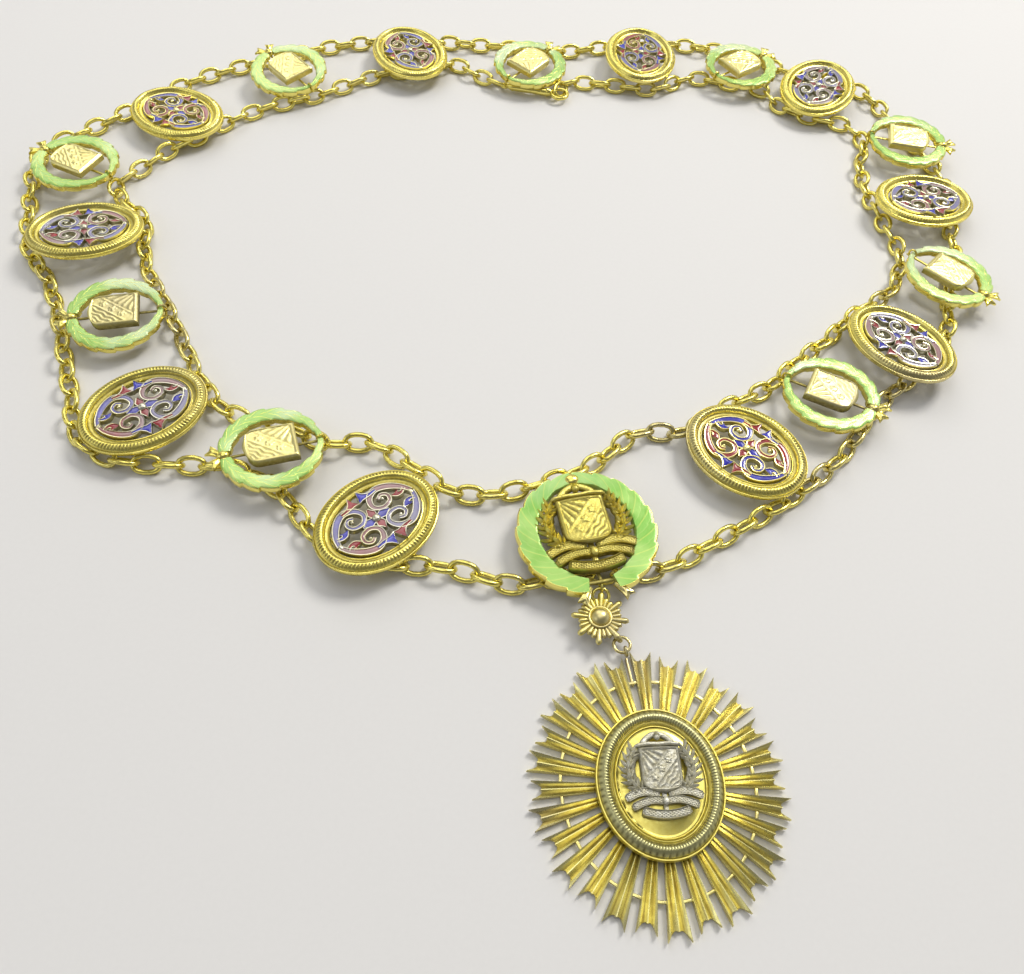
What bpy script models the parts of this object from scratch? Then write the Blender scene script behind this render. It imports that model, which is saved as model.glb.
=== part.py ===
"""Collar of an order: two cable chains that carry twenty plaques, with a sunburst badge below.

Metres, +Z up. The collar lies on z = 0 as a closed loop, with its badge towards -Y.
A plaque's own x axis points out of the loop, and its underside is at its own z = 0.
"""
import math
from collections import namedtuple

import bmesh
import bpy
import numpy as np
from mathutils import Matrix, Vector

# Clearance between pieces that touch, and the step that keeps joined faces out of one plane
GAP = 0.0003
STAGGER = 0.0001

# Chains
CHAIN_HEIGHT = 0.0052
CHAIN_POINTS = 68
CHAIN_BEVEL_RESOLUTION = 2

# Oval plaques: a rounded rim round an open scroll
OVAL_LENGTH = 0.0420
OVAL_WIDTH = 0.0330
OVAL_BAND = 0.0052
OVAL_RISE = 0.0030
OVAL_STEPS = 24
SCROLL_WIDTH = 0.0021
SCROLL_BASE = 0.0006
SCROLL_RISE = 0.0018

# Wreath plaques: two leafy branches, a knot, a bearer bar and a shield
WREATH_DIAMETER = 0.0334
WREATH_BAND = 0.0054
WREATH_RISE = 0.0024
WREATH_LEAVES = 5
LEAF_NOTCH = 0.0010
KNOT_WIDTH = 0.0042
KNOT_LENGTH = 0.0034
TAIL_LENGTH = 0.0036
TAIL_WIDTH = 0.0017
TAIL_SPLAY = math.radians(32)
BEARER_WIDTH = 0.0016
BEARER_HEIGHT = 0.0009
LUG_LENGTH = 0.0014
SHIELD_HEIGHT = 0.0170
SHIELD_WIDTH = 0.0140
SHIELD_THICKNESS = 0.0028

# Large wreath over the badge
BIG_DIAMETER = 0.0440
BIG_BAND = 0.0070
BIG_RISE = 0.0028
BIG_LEAVES = 8
BIG_OPENING = math.radians(11)
BIG_TAIL_LENGTH = 0.0050
BIG_TAIL_WIDTH = 0.0026
BIG_ARMS_WIDTH = 0.0290
ARMS_THICKNESS = 0.0032

# Clasp at the back of the inner chain
CLASP_LENGTH = 0.0200
CLASP_WIDTH = 0.0034
CLASP_RING_DIAMETER = 0.0088
CLASP_RING_WIRE = 0.0016
CLASP_EYE_DIAMETER = 0.0041
CLASP_EYE_WIRE = 0.0011

# Star link and the two rings and four eyes that hang the badge
STAR_DIAMETER = 0.0168
STAR_RAYS = 16
STAR_PLATE = 0.0010
STAR_BOSS_DIAMETER = 0.0064
STAR_BOSS_RISE = 0.0022
EYE_DIAMETER = 0.0034
EYE_WIRE = 0.0009
RING_WIRE = 0.0009
RING_REACH = 0.0048
EYE_SINK = 0.0004

# Badge
BADGE_WIDTH = 0.0700
BADGE_HEIGHT = 0.0755
BADGE_RAYS = 28
RAY_THICKNESS = 0.0016
RAY_LIFT = 0.0003
RAY_ROOT_FILL = 0.62
RAY_TIP_FILL = 0.70
RAY_NOTCH = 0.0024
RAY_STEP = 0.0012
RAY_ROOT_SHARE = 0.9
GROOVE_DEPTH = 0.0006
PIN_WIDTH = 0.0009
PIN_SHARE = 0.46
HUB_HEIGHT = 0.0020
HUB_SHARE = 0.86
MEDALLION_WIDTH = 0.0343
MEDALLION_HEIGHT = 0.0396
MEDALLION_BAND = 0.0046
MEDALLION_RISE = 0.0040
FIELD_RISE = 0.0012
BADGE_ARMS_WIDTH = 0.0215

# The plan is laid out in plaque widths, so that the loop grows with its plaques
PLAN = (OVAL_WIDTH + WREATH_DIAMETER) / 2

Place = namedtuple("Place", "kind x y heading out_slope side_slope")
# Plaques clockwise from the badge: place in plaque widths, heading and slopes in degrees
PLACES = [
    Place("big", 0.72, 4.35, 286, 0, 0),
    Place("oval", -1.21, 4.30, 232, 2, 1),
    Place("wreath", -2.33, 4.99, 201, 2, 2),
    Place("oval", -3.66, 5.34, 219, 0, -2),
    Place("wreath", -4.33, 6.57, 195, 0, -3),
    Place("oval", -5.03, 7.76, 201, 3, 4),
    Place("wreath", -5.55, 8.95, 160, 2, 1),
    Place("oval", -4.65, 10.11, 153, 0, 0),
    Place("wreath", -3.43, 11.17, 137, 3, -4),
    Place("oval", -1.90, 11.88, 117, 0, 1),
    Place("wreath", -0.23, 11.85, 55, 1, 3),
    Place("oval", 1.30, 12.24, 86, 1, 4),
    Place("wreath", 2.72, 12.20, 40, 0, 2),
    Place("oval", 3.75, 11.81, 66, 3, -1),
    Place("wreath", 4.81, 10.75, 352, 0, 3),
    Place("oval", 4.79, 9.53, 18, -3, -2),
    Place("wreath", 4.83, 8.20, 321, -1, -3),
    Place("oval", 4.08, 7.06, 309, 3, -3),
    Place("wreath", 3.22, 6.26, 337, 1, -1),
    Place("oval", 2.27, 5.44, 322, 1, 3),
]

# Chosen points of the two chains, in plaque widths, clockwise from the badge
OUTER_ROUTE = [
    (0.78, 3.98), (0.40, 3.90), (0.08, 3.81), (-0.51, 3.93), (-1.14, 3.92), (-1.63, 4.04), (-1.96, 4.36),
    (-2.26, 4.66), (-2.71, 4.82), (-3.25, 4.80), (-3.83, 4.81), (-4.25, 5.03), (-4.46, 5.48),
    (-4.73, 6.05), (-5.00, 6.62), (-5.30, 7.14), (-5.66, 7.56), (-5.84, 8.07), (-6.00, 8.58),
    (-6.12, 9.06), (-6.00, 9.46), (-5.62, 9.86), (-5.30, 10.28), (-5.00, 10.70), (-4.55, 11.13),
    (-3.94, 11.55), (-3.31, 11.93), (-2.65, 12.22), (-1.98, 12.43), (-1.27, 12.40), (-0.54, 12.43),
    (0.14, 12.41), (0.74, 12.60), (1.32, 12.78), (1.87, 12.84), (2.47, 12.76), (3.04, 12.57),
    (3.55, 12.36), (4.10, 12.24), (4.49, 11.92), (4.76, 11.36), (5.03, 10.72), (5.20, 10.15),
    (5.12, 9.49), (5.08, 8.83), (4.88, 8.13), (4.73, 7.47), (4.50, 6.96), (4.04, 6.57),
    (3.64, 6.11), (3.31, 5.60), (2.92, 5.20), (2.47, 4.82), (1.93, 4.43), (1.38, 4.08),
]
INNER_ROUTE = [
    (0.17, 11.40), (0.36, 11.68), (0.90, 11.69), (1.51, 11.69), (1.98, 12.00), (2.41, 11.98),
    (3.00, 11.86), (3.25, 11.50), (3.67, 11.30), (4.12, 11.17), (4.28, 10.80), (4.16, 10.30),
    (4.19, 9.70), (4.31, 9.13), (4.39, 8.64), (4.19, 8.04), (3.73, 7.62), (3.34, 7.17), (2.95, 6.78),
    (2.62, 6.41), (2.11, 6.05), (1.69, 5.72), (1.20, 5.63), (0.81, 5.24), (0.42, 5.00), (-0.09, 4.79),
    (-0.54, 4.76), (-0.96, 5.00), (-1.42, 5.24), (-1.87, 5.21), (-2.35, 5.39), (-2.86, 5.48),
    (-3.22, 5.81), (-3.58, 6.36), (-3.86, 6.81), (-4.22, 7.32), (-4.40, 7.74), (-4.52, 8.16),
    (-4.82, 8.46), (-5.03, 8.73), (-4.85, 9.10), (-4.61, 9.49), (-4.31, 9.82), (-4.01, 10.21),
    (-3.64, 10.54), (-3.16, 10.81), (-2.68, 11.17), (-2.17, 11.54), (-1.69, 11.66), (-1.27, 11.87),
    (-0.87, 11.63), (-0.57, 11.49),
]

# Scroll strokes, in shares of the opening's half length and half width: a volute from its eye to the
# middle of one end, and half of the fishtail that joins two volutes
VOLUTE_ROUTE = [(0.58, 0.36), (0.40, 0.13), (0.16, 0.22), (0.17, 0.58), (0.46, 0.74), (0.76, 0.48), (0.93, 0.0)]
FISHTAIL_ROUTE = [(0.44, 0.72), (0.0, 0.88)]

Finish = namedtuple("Finish", "colour metallic roughness")
FINISHES = {
    "gold": Finish((0.62, 0.47, 0.16), 1.0, 0.30),
    "enamel_green": Finish((0.35, 0.72, 0.40), 0.0, 0.15),
    "enamel_scroll": Finish((0.38, 0.10, 0.16), 0.2, 0.25),
    "arms_gold": Finish((0.45, 0.36, 0.18), 1.0, 0.45),
}


# Helpers for points

def ellipse(half_x, half_y, steps, z):
    """Points round an ellipse at height z."""
    angles = np.arange(steps) * 2 * np.pi / steps
    return np.stack([half_x * np.cos(angles), half_y * np.sin(angles), np.full(steps, z)], axis=1)


def smooth_route(points, closed, per_span=24):
    """Catmull-Rom curve through the points, as a dense list of points."""
    points = np.asarray(points, dtype=float)
    if closed:
        padded = np.vstack([points[-1:], points, points[:2]])
    else:
        padded = np.vstack([2 * points[:1] - points[1:2], points, 2 * points[-1:] - points[-2:-1]])
    t = np.linspace(0, 1, per_span, endpoint=False)[:, None]
    spans = []
    for a, b, c, d in zip(padded, padded[1:], padded[2:], padded[3:]):
        spans.append(b + 0.5 * t * (c - a + t * (2 * a - 5 * b + 4 * c - d + t * (3 * (b - c) + d - a))))
    if not closed:
        spans.append(points[-1:])
    return np.vstack(spans)


def evenly_spaced(route, count, closed):
    """Points at equal distances along a route."""
    if closed:
        route = np.vstack([route, route[:1]])
    lengths = np.concatenate([[0], np.cumsum(np.linalg.norm(np.diff(route, axis=0), axis=1))])
    stops = np.linspace(0, lengths[-1], count, endpoint=not closed)
    return np.stack([np.interp(stops, lengths, column) for column in route.T], axis=1)


# Helpers for meshes and objects

def loft(name, loops, ring=False):
    """Closed mesh through loops of equal size; a ring joins the last loop to the first, else ends are filled."""
    mesh = bpy.data.meshes.new(name)
    bm = bmesh.new()
    rows = [[bm.verts.new(point) for point in loop] for loop in loops]
    for low, high in zip(rows, rows[1:] + (rows[:1] if ring else [])):
        for i, corner in enumerate(low):
            j = (i + 1) % len(low)
            bm.faces.new([corner, low[j], high[j], high[i]])
    if not ring:
        bm.faces.new(rows[0])
        bm.faces.new(rows[-1])
    bmesh.ops.recalc_face_normals(bm, faces=bm.faces)
    bm.to_mesh(mesh)
    bm.free()
    return mesh


def bar(name, centre, size, turn=0.0):
    """Box of a given centre and size, turned about z."""
    half = np.array(size) / 2
    corners = [(-1, -1), (1, -1), (1, 1), (-1, 1)]
    loops = []
    for z in (-half[2], half[2]):
        loops.append([Matrix.Rotation(turn, 3, "Z") @ Vector((x * half[0], y * half[1], z)) + Vector(centre)
                      for x, y in corners])
    return loft(name, loops)


def torus(name, centre, reach, wire, along, normal, steps=10, sides=5):
    """Ring of a given centre-line radius in the plane of along and across, whose axis is normal."""
    along = Vector(along).normalized()
    normal = Vector(normal).normalized()
    across = normal.cross(along)
    loops = []
    for i in range(steps):
        angle = 2 * math.pi * i / steps
        out = along * math.cos(angle) + across * math.sin(angle)
        loop = []
        for k in range(sides):
            turn = 2 * math.pi * k / sides
            loop.append(Vector(centre) + out * (reach + wire / 2 * math.cos(turn)) + normal * wire / 2 * math.sin(turn))
        loops.append(loop)
    return loft(name, loops, ring=True)


def ribbon(name, centre_line, widths, low, high):
    """Ridged strip along a flat centre line, three-sided in section, from height low to its ridge at high."""
    line = np.asarray(centre_line, dtype=float)
    widths = np.broadcast_to(widths, len(line))
    heading = np.gradient(line, axis=0)
    heading /= np.linalg.norm(heading, axis=1)[:, None]
    side = np.stack([-heading[:, 1], heading[:, 0]], axis=1) * widths[:, None] / 2
    loops = []
    for middle, offset in zip(line, side):
        loops.append([(*(middle - offset), low), (*(middle + offset), low), (*middle, high)])
    return loft(name, loops)


def fused(name, meshes):
    """One body from overlapping closed meshes, by Boolean union."""
    objects = [bpy.data.objects.new(f"{name}_piece", mesh) for mesh in meshes]
    for piece in objects:
        bpy.context.collection.objects.link(piece)
    for other in objects[1:]:
        union = objects[0].modifiers.new("union", "BOOLEAN")
        union.operation = "UNION"
        union.object = other
    depsgraph = bpy.context.evaluated_depsgraph_get()
    mesh = bpy.data.meshes.new_from_object(objects[0].evaluated_get(depsgraph))
    for piece in objects:
        bpy.data.objects.remove(piece)
    mesh.name = name
    return mesh


def material(name):
    """Principled material of one of the finishes."""
    finish = FINISHES[name]
    shader_material = bpy.data.materials.get(name) or bpy.data.materials.new(name)
    shader_material.use_nodes = True
    shader = shader_material.node_tree.nodes["Principled BSDF"]
    shader.inputs["Base Color"].default_value = (*finish.colour, 1.0)
    shader.inputs["Metallic"].default_value = finish.metallic
    shader.inputs["Roughness"].default_value = finish.roughness
    return shader_material


def add(name, data, finish, parent):
    """Object of a named finish under its parent, shaded smooth where it is round."""
    if isinstance(data, bpy.types.Mesh):
        data.shade_smooth()
        data.set_sharp_from_angle(angle=math.radians(35))
    piece = bpy.data.objects.new(name, data)
    data.materials.clear()
    data.materials.append(material(finish))
    bpy.context.collection.objects.link(piece)
    piece.parent = parent
    return piece


def add_empty(name, parent, location=(0, 0, 0), rotation=None):
    """Empty that carries the pieces placed together."""
    empty = bpy.data.objects.new(name, None)
    bpy.context.collection.objects.link(empty)
    empty.parent = parent
    empty.matrix_local = Matrix.Translation(location) @ (rotation or Matrix.Identity(4))
    return empty


# Chains

def chain_line(route, closed):
    """Centre line of a chain lying on the ground, at most a few diameters between points."""
    flat = evenly_spaced(smooth_route(np.array(route) * PLAN, closed), CHAIN_POINTS, closed)
    return np.column_stack([flat, np.full(len(flat), CHAIN_HEIGHT / 2)])


def add_chain(name, line, closed, parent):
    """Round tube that stands for the links of one chain."""
    curve = bpy.data.curves.new(name, "CURVE")
    curve.dimensions = "3D"
    curve.bevel_depth = CHAIN_HEIGHT / 2
    curve.bevel_resolution = CHAIN_BEVEL_RESOLUTION
    curve.use_fill_caps = True
    spline = curve.splines.new("POLY")
    spline.points.add(len(line) - 1)
    for point, place in zip(spline.points, line):
        point.co = (*place, 1.0)
    spline.use_cyclic_u = closed
    return add(name, curve, "gold", parent)


def end_at_ring(line, centre, diameter):
    """The line with its first stretch replaced by a straight one that ends at a ring's edge."""
    away = np.linalg.norm(line[:, :2] - centre, axis=1)
    kept = line[np.argmax(away > diameter / 2 + CHAIN_HEIGHT):]
    out = (kept[0, :2] - centre) / np.linalg.norm(kept[0, :2] - centre)
    end = centre + out * (diameter / 2 + GAP)
    return np.vstack([[*end, CHAIN_HEIGHT / 2], kept])


# Oval plaques

def rim_mesh():
    """Rounded band round the oval, with a lip at its inner and outer edge."""
    # share of the band from its outer edge, and share of the rise
    profile = [(0.0, 0.0), (0.0, 0.45), (0.25, 0.90), (0.60, 1.0), (1.0, 0.50), (1.0, 0.0)]
    # the inner wall's flats, not its corners, keep the opening's size
    flats = 1 / math.cos(math.pi / OVAL_STEPS)
    loops = []
    for across, up in profile:
        grow = flats if across == 1.0 else 1.0
        half_x = (OVAL_LENGTH / 2 - OVAL_BAND * across) * grow
        half_y = (OVAL_WIDTH / 2 - OVAL_BAND * across) * grow
        loops.append(ellipse(half_x, half_y, OVAL_STEPS, OVAL_RISE * up))
    return loft("oval_rim", loops, ring=True)


def scroll_mesh():
    """A pair of mirrored C scrolls that end in volutes, two fishtails and a lozenge in the middle."""
    half = np.array([OVAL_LENGTH / 2 - OVAL_BAND - GAP, OVAL_WIDTH / 2 - OVAL_BAND - GAP])
    low = SCROLL_BASE
    high = SCROLL_BASE + SCROLL_RISE
    pieces = []
    for side in (1, -1):
        volute = np.array(VOLUTE_ROUTE) * half * (side, 1)
        c_scroll = smooth_route(np.vstack([volute, volute[-2::-1] * (1, -1)]), False)
        pieces.append(ribbon("c_scroll", evenly_spaced(c_scroll, 13, False), SCROLL_WIDTH, low, high))
        joint = np.array(FISHTAIL_ROUTE) * half * (1, side)
        fishtail = np.vstack([joint, joint[0] * (-1, 1)])
        widths = SCROLL_WIDTH * np.array([0.8, 1.6, 0.8])
        pieces.append(ribbon("fishtail", fishtail, widths, low + STAGGER, high - GAP))
    lozenge = [(0.42, 0.0), (0.0, 0.42), (-0.42, 0.0), (0.0, -0.42)]
    pieces.append(loft("lozenge", [[(x * half[0] * draw, y * half[1] * draw, z) for x, y in lozenge]
                                   for draw, z in ((1.0, low + GAP), (0.8, high + STAGGER))]))
    return fused("oval_scroll", pieces)


# Wreaths

def wreath_band(name, radius, band, rise, leaves, opening):
    """Two branches from the opening to the far side, with one saw tooth for each leaf."""
    angles = []
    outer = []
    for leaf in range(leaves):
        start = opening + (math.pi - opening) * leaf / leaves
        end = opening + (math.pi - opening) * (leaf + 1) / leaves
        angles += [start + 0.12 * (end - start), end]
        outer += [radius - LEAF_NOTCH, radius]
    angles = np.array([opening] + angles)
    outer = np.array([radius - LEAF_NOTCH * 0.6] + outer)
    # the other branch mirrors the first, and the two share the station at the far side
    angles = np.concatenate([angles, 2 * np.pi - angles[-2::-1]])
    outer = np.concatenate([outer, outer[-2::-1]])
    width = band * (0.62 + 0.38 * np.sin(np.clip(angles / 2, 0, np.pi)) ** 0.5)
    width = np.where(np.abs(angles - np.pi) < math.radians(40), width * 0.8, width)
    # share of the band from the outer edge, and share of the rise
    profile = [(0.0, 0.0), (0.0, 0.5), (0.6, 1.0), (1.0, 0.0)]
    loops = []
    for angle, reach, wide in zip(angles, outer, width):
        loops.append([((reach - wide * across) * math.cos(angle), (reach - wide * across) * math.sin(angle),
                       rise * up) for across, up in profile])
    return loft(name, loops)


def tail(name, root, length, width, turn, rise):
    """Forked end of a knotted ribbon, flat and widening outwards."""
    outline = [(0, -0.35), (0, 0.35), (1, 0.5), (0.7, 0), (1, -0.5)]
    spin = Matrix.Rotation(turn, 3, "Z")
    loops = []
    for z in (rise * 0.3, rise * 0.8):
        loops.append([spin @ Vector((x * length, y * width, 0)) + Vector((*root, z)) for x, y in outline])
    return loft(name, loops)


def wreath_mesh():
    """Small wreath with its knot, two tails, and the bearer bar under the shield that ends in a lug."""
    radius = WREATH_DIAMETER / 2
    opening = math.asin(KNOT_WIDTH * 0.36 / radius)
    middle = radius - WREATH_BAND / 2
    pieces = [wreath_band("band", radius, WREATH_BAND, WREATH_RISE, WREATH_LEAVES, opening)]
    pieces.append(bar("knot", (middle, 0, WREATH_RISE * 0.5), (KNOT_LENGTH, KNOT_WIDTH, WREATH_RISE * 1.2)))
    for side in (1, -1):
        root = (middle + KNOT_LENGTH * 0.3, side * KNOT_WIDTH * 0.2)
        pieces.append(tail("tail", root, TAIL_LENGTH, TAIL_WIDTH, side * TAIL_SPLAY, WREATH_RISE))
    start = -radius - LUG_LENGTH
    end = radius - WREATH_BAND * 0.4
    pieces.append(bar("bearer", ((start + end) / 2, 0, BEARER_HEIGHT / 2 + STAGGER),
                      (end - start, BEARER_WIDTH, BEARER_HEIGHT)))
    return fused("wreath", pieces)


def shield_outline(height, width):
    """Shield with a flat head at -x, straight sides and a rounded foot at +x, as (x, y) points."""
    # share of the height from the middle, and share of the width
    corners = [(-0.50, 0.50), (0.10, 0.50), (0.34, 0.45), (0.46, 0.28), (0.50, 0.0)]
    right = [(x * height, y * width) for x, y in corners]
    left = [(x, -y) for x, y in reversed(right[:-1])]
    return right + left


def shield_mesh(name, height, width, thickness, low, centre_x=0.0):
    """Solid shield with a rounded edge over its face."""
    loops = []
    # share of the thickness, and how much the outline draws in
    for up, inset in ((0.0, 1.0), (0.72, 1.0), (1.0, 0.86)):
        loops.append([(centre_x + x * inset, y * inset, low + thickness * up)
                      for x, y in shield_outline(height, width)])
    return loft(name, loops)


def big_wreath_mesh():
    """Large wreath, open at its foot, with two tails, a bearer bar, a tie bar and the eye for the upper ring."""
    radius = BIG_DIAMETER / 2
    pieces = [wreath_band("band", radius, BIG_BAND, BIG_RISE, BIG_LEAVES, BIG_OPENING)]
    middle = radius - BIG_BAND / 2
    tie_x = middle * math.cos(BIG_OPENING)
    tie_width = 2 * middle * math.sin(BIG_OPENING) + BIG_BAND * 0.5
    pieces.append(bar("tie", (tie_x, 0, BEARER_HEIGHT * 0.7), (BEARER_WIDTH * 1.2, tie_width, BEARER_HEIGHT * 1.1)))
    for side in (1, -1):
        root = (radius * math.cos(BIG_OPENING) - BIG_BAND * 0.35, side * tie_width * 0.40)
        pieces.append(tail("tail", root, BIG_TAIL_LENGTH, BIG_TAIL_WIDTH, side * TAIL_SPLAY, BIG_RISE))
    head = -(radius - BIG_BAND * 0.4)
    reach = tie_x - head
    centre = ((tie_x + head) / 2, 0, BEARER_HEIGHT / 2 + STAGGER)
    pieces.append(bar("bearer", centre, (reach, BEARER_WIDTH, BEARER_HEIGHT)))
    pieces.append(torus("eye", (BIG_EYE_X, 0, -BIG_EYE_DROP), (EYE_DIAMETER - EYE_WIRE) / 2, EYE_WIRE,
                        (1, 0, 0), (0, 1, 0)))
    return fused("big_wreath", pieces)


def arms_mesh(name, width, thickness, low):
    """Shield between two leafy sprays, over a folded ribbon and under a rayed crest."""
    size = width / 2
    top = low + thickness
    pieces = [shield_mesh("shield", size * 1.05, size * 0.95, thickness, low, -0.24 * size)]
    crest = [(-0.70, 0.34), (-0.92, 0.20), (-1.0, 0.0), (-0.92, -0.20), (-0.70, -0.34)]
    pieces.append(loft("crest", [[(x * size, y * size, z) for x, y in crest]
                                 for z in (low + thickness * 0.1, low + thickness * 0.7)]))
    for side in (1, -1):
        spray = [(0.30, 0.62), (-0.10, 0.84), (-0.44, 0.74), (-0.66, 0.50)]
        line = evenly_spaced(smooth_route(np.array(spray) * (size, side * size), False), 5, False)
        widths = size * np.array([0.20, 0.30, 0.30, 0.24, 0.08])
        pieces.append(ribbon("spray", line, widths, low + thickness * 0.05, low + thickness * 0.75))
        fold = [(0.34, 0.10), (0.30, 0.50), (0.40, 0.86)]
        line = evenly_spaced(smooth_route(np.array(fold) * (size, side * size), False), 4, False)
        pieces.append(ribbon("fold", line, size * 0.20, low + thickness * 0.15, top - thickness * 0.1))
    for reach, depth in ((0.52, 0.84), (0.80, 0.56)):
        sweep = [(reach - 0.10, -depth), (reach + 0.06, -depth * 0.4), (reach + 0.06, depth * 0.4),
                 (reach - 0.10, depth)]
        line = evenly_spaced(smooth_route(np.array(sweep) * size, False), 6, False)
        pieces.append(ribbon("sweep", line, size * 0.20, low + thickness * 0.1, top))
    pieces.append(bar("spine", (0.55 * size, 0, low + thickness * 0.3),
                      (size * 0.66, size * 0.24, thickness * 0.5)))
    return fused(name, pieces)


# Clasp, star link and rings

def clasp_mesh():
    """Bar with a ring for the chain at its +x end and a small eye at the other; its middle is the origin."""
    body = CLASP_LENGTH / 2
    loops = []
    for x, share in ((-body, 0.5), (-body * 0.9, 1.0), (body * 0.9, 1.0), (body, 0.5)):
        half = CLASP_WIDTH / 2 * share
        loops.append([(x, half * math.cos(a), half * math.sin(a)) for a in np.arange(8) * math.pi / 4])
    pieces = [loft("clasp_bar", loops)]
    pieces.append(torus("clasp_ring", (CLASP_RING_X, 0, 0), (CLASP_RING_DIAMETER - CLASP_RING_WIRE) / 2,
                        CLASP_RING_WIRE, (1, 0, 0), (0, 0, 1)))
    pieces.append(torus("clasp_eye", (CLASP_EYE_X, 0, 0), (CLASP_EYE_DIAMETER - CLASP_EYE_WIRE) / 2,
                        CLASP_EYE_WIRE, (1, 0, 0), (0, 0, 1), 8))
    return fused("clasp", pieces)


def star_mesh(heading_up, heading_down):
    """Plate of rays round a boss, with an eye under it towards each ring; its middle is the origin."""
    outline = []
    for i in range(STAR_RAYS * 2):
        angle = math.pi * i / STAR_RAYS
        if i % 2:
            reach = STAR_BOSS_DIAMETER * 0.66
        elif i % 4 == 0:
            reach = STAR_DIAMETER / 2
        else:
            reach = STAR_DIAMETER * 0.39
        outline.append((reach * math.cos(angle), reach * math.sin(angle)))
    pieces = [loft("star_plate", [[(x, y, z) for x, y in outline] for z in (0, STAR_PLATE)])]
    boss = STAR_BOSS_DIAMETER / 2
    # share of the boss radius, and share of the boss rise
    profile = [(1.0, -0.1), (1.0, 0.2), (0.74, 0.32), (0.5, 0.8), (0.2, 1.0)]
    pieces.append(loft("boss", [ellipse(boss * out, boss * out, 12, STAR_PLATE + STAR_BOSS_RISE * up)
                                for out, up in profile]))
    for heading, reach in ((heading_up, STAR_UPPER_EYE), (heading_down, STAR_LOWER_EYE)):
        along = (math.cos(heading), math.sin(heading), 0)
        centre = (along[0] * reach, along[1] * reach, EYE_SINK - EYE_DIAMETER / 2)
        pieces.append(torus("eye", centre, (EYE_DIAMETER - EYE_WIRE) / 2, EYE_WIRE, along,
                            (-along[1], along[0], 0)))
    return fused("star_link", pieces)


def add_ring(name, eye_a, eye_b, parent):
    """Ring whose centre line runs through the middles of two eyes."""
    along = Vector(eye_b) - Vector(eye_a)
    across = Vector((0, 0, 1)).cross(along)
    middle = (Vector(eye_a) + Vector(eye_b)) / 2
    mesh = torus(name, (0, 0, 0), along.length / 2, RING_WIRE, along, along.cross(across))
    ring = add(name, mesh, "gold", parent)
    ring.location = middle
    return ring


# Badge, whose own y axis points to its head

def ray_mesh(angle, inner_share, tip_drop):
    """One ray: two ridges with a groove between them and a notched tip, from under the medallion outwards."""
    direction = np.array([math.cos(angle), math.sin(angle)])
    side = np.array([-direction[1], direction[0]])
    edge = 1 / math.hypot(direction[0] / (BADGE_WIDTH / 2), direction[1] / (BADGE_HEIGHT / 2)) - tip_drop
    rim = 1 / math.hypot(direction[0] / (MEDALLION_WIDTH / 2), direction[1] / (MEDALLION_HEIGHT / 2))
    pitch = 2 * math.sin(math.pi / BADGE_RAYS)
    top = RAY_LIFT + RAY_THICKNESS
    # share of the half width, height, and how far the tip draws back there
    section = [(-1.0, RAY_LIFT, 0.0), (1.0, RAY_LIFT, 0.0), (1.0, top, 0.0),
               (0.0, top - GROOVE_DEPTH, RAY_NOTCH), (-1.0, top, 0.0)]
    loops = []
    for reach, at_tip, fill in ((rim * inner_share, 0.0, RAY_ROOT_FILL), (edge, 1.0, RAY_TIP_FILL)):
        half_width = reach * pitch * fill / 2
        loop = []
        for across, z, back in section:
            point = direction * (reach - back * at_tip) + side * half_width * across
            loop.append((*point, z))
        loops.append(loop)
    return loft("ray", loops)


def badge_rays_mesh(eye_angle, eye_reach, eye_z):
    """All rays with the hub that carries them, the ring of cross pins and the eye for the lower ring."""
    hub = (MEDALLION_WIDTH / 2 * HUB_SHARE, MEDALLION_HEIGHT / 2 * HUB_SHARE)
    pieces = [loft("hub", [ellipse(*hub, 28, 0), ellipse(*hub, 28, HUB_HEIGHT)])]
    for i in range(BADGE_RAYS):
        angle = math.pi / 2 + 2 * math.pi * i / BADGE_RAYS
        pieces.append(ray_mesh(angle, HUB_SHARE * RAY_ROOT_SHARE, RAY_STEP * (i % 2)))
    pin_x = (BADGE_WIDTH * PIN_SHARE + MEDALLION_WIDTH * (1 - PIN_SHARE)) / 2
    pin_y = (BADGE_HEIGHT * PIN_SHARE + MEDALLION_HEIGHT * (1 - PIN_SHARE)) / 2
    low = RAY_LIFT + RAY_THICKNESS * 0.2
    high = RAY_LIFT + RAY_THICKNESS * 0.55
    loops = [ellipse(pin_x + out * PIN_WIDTH / 2, pin_y + out * PIN_WIDTH / 2, BADGE_RAYS, z)
             for out, z in ((1, low), (0, high), (-1, low))]
    pieces.append(loft("pins", loops, ring=True))
    along = (math.cos(eye_angle), math.sin(eye_angle), 0)
    stem_start = min(pin_x, pin_y) * 0.97
    stem_end = eye_reach - EYE_DIAMETER / 2 + EYE_SINK
    stem_middle = (stem_start + stem_end) / 2
    stem_top = eye_z + EYE_WIRE / 2
    pieces.append(bar("stem", (along[0] * stem_middle, along[1] * stem_middle, (low + stem_top) / 2),
                      (stem_end - stem_start, EYE_WIRE, stem_top - low), eye_angle))
    centre = (along[0] * eye_reach, along[1] * eye_reach, eye_z)
    pieces.append(torus("eye", centre, (EYE_DIAMETER - EYE_WIRE) / 2, EYE_WIRE, along, (-along[1], along[0], 0)))
    return fused("badge_rays", pieces)


def medallion_mesh():
    """Oval medallion: outer lip, convex band, inner lip and domed field."""
    half_x = MEDALLION_WIDTH / 2
    half_y = MEDALLION_HEIGHT / 2
    band = MEDALLION_BAND
    rise = MEDALLION_RISE
    # distance in from the edge, and height
    profile = [(0, 0), (0, rise * 0.45), (band * 0.45, rise), (band, rise * 0.62),
               (half_x * 0.75, rise * 0.62 + FIELD_RISE)]
    return loft("medallion", [ellipse(half_x - inset, half_y - inset, 28, z) for inset, z in profile])


# Assembly

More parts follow.
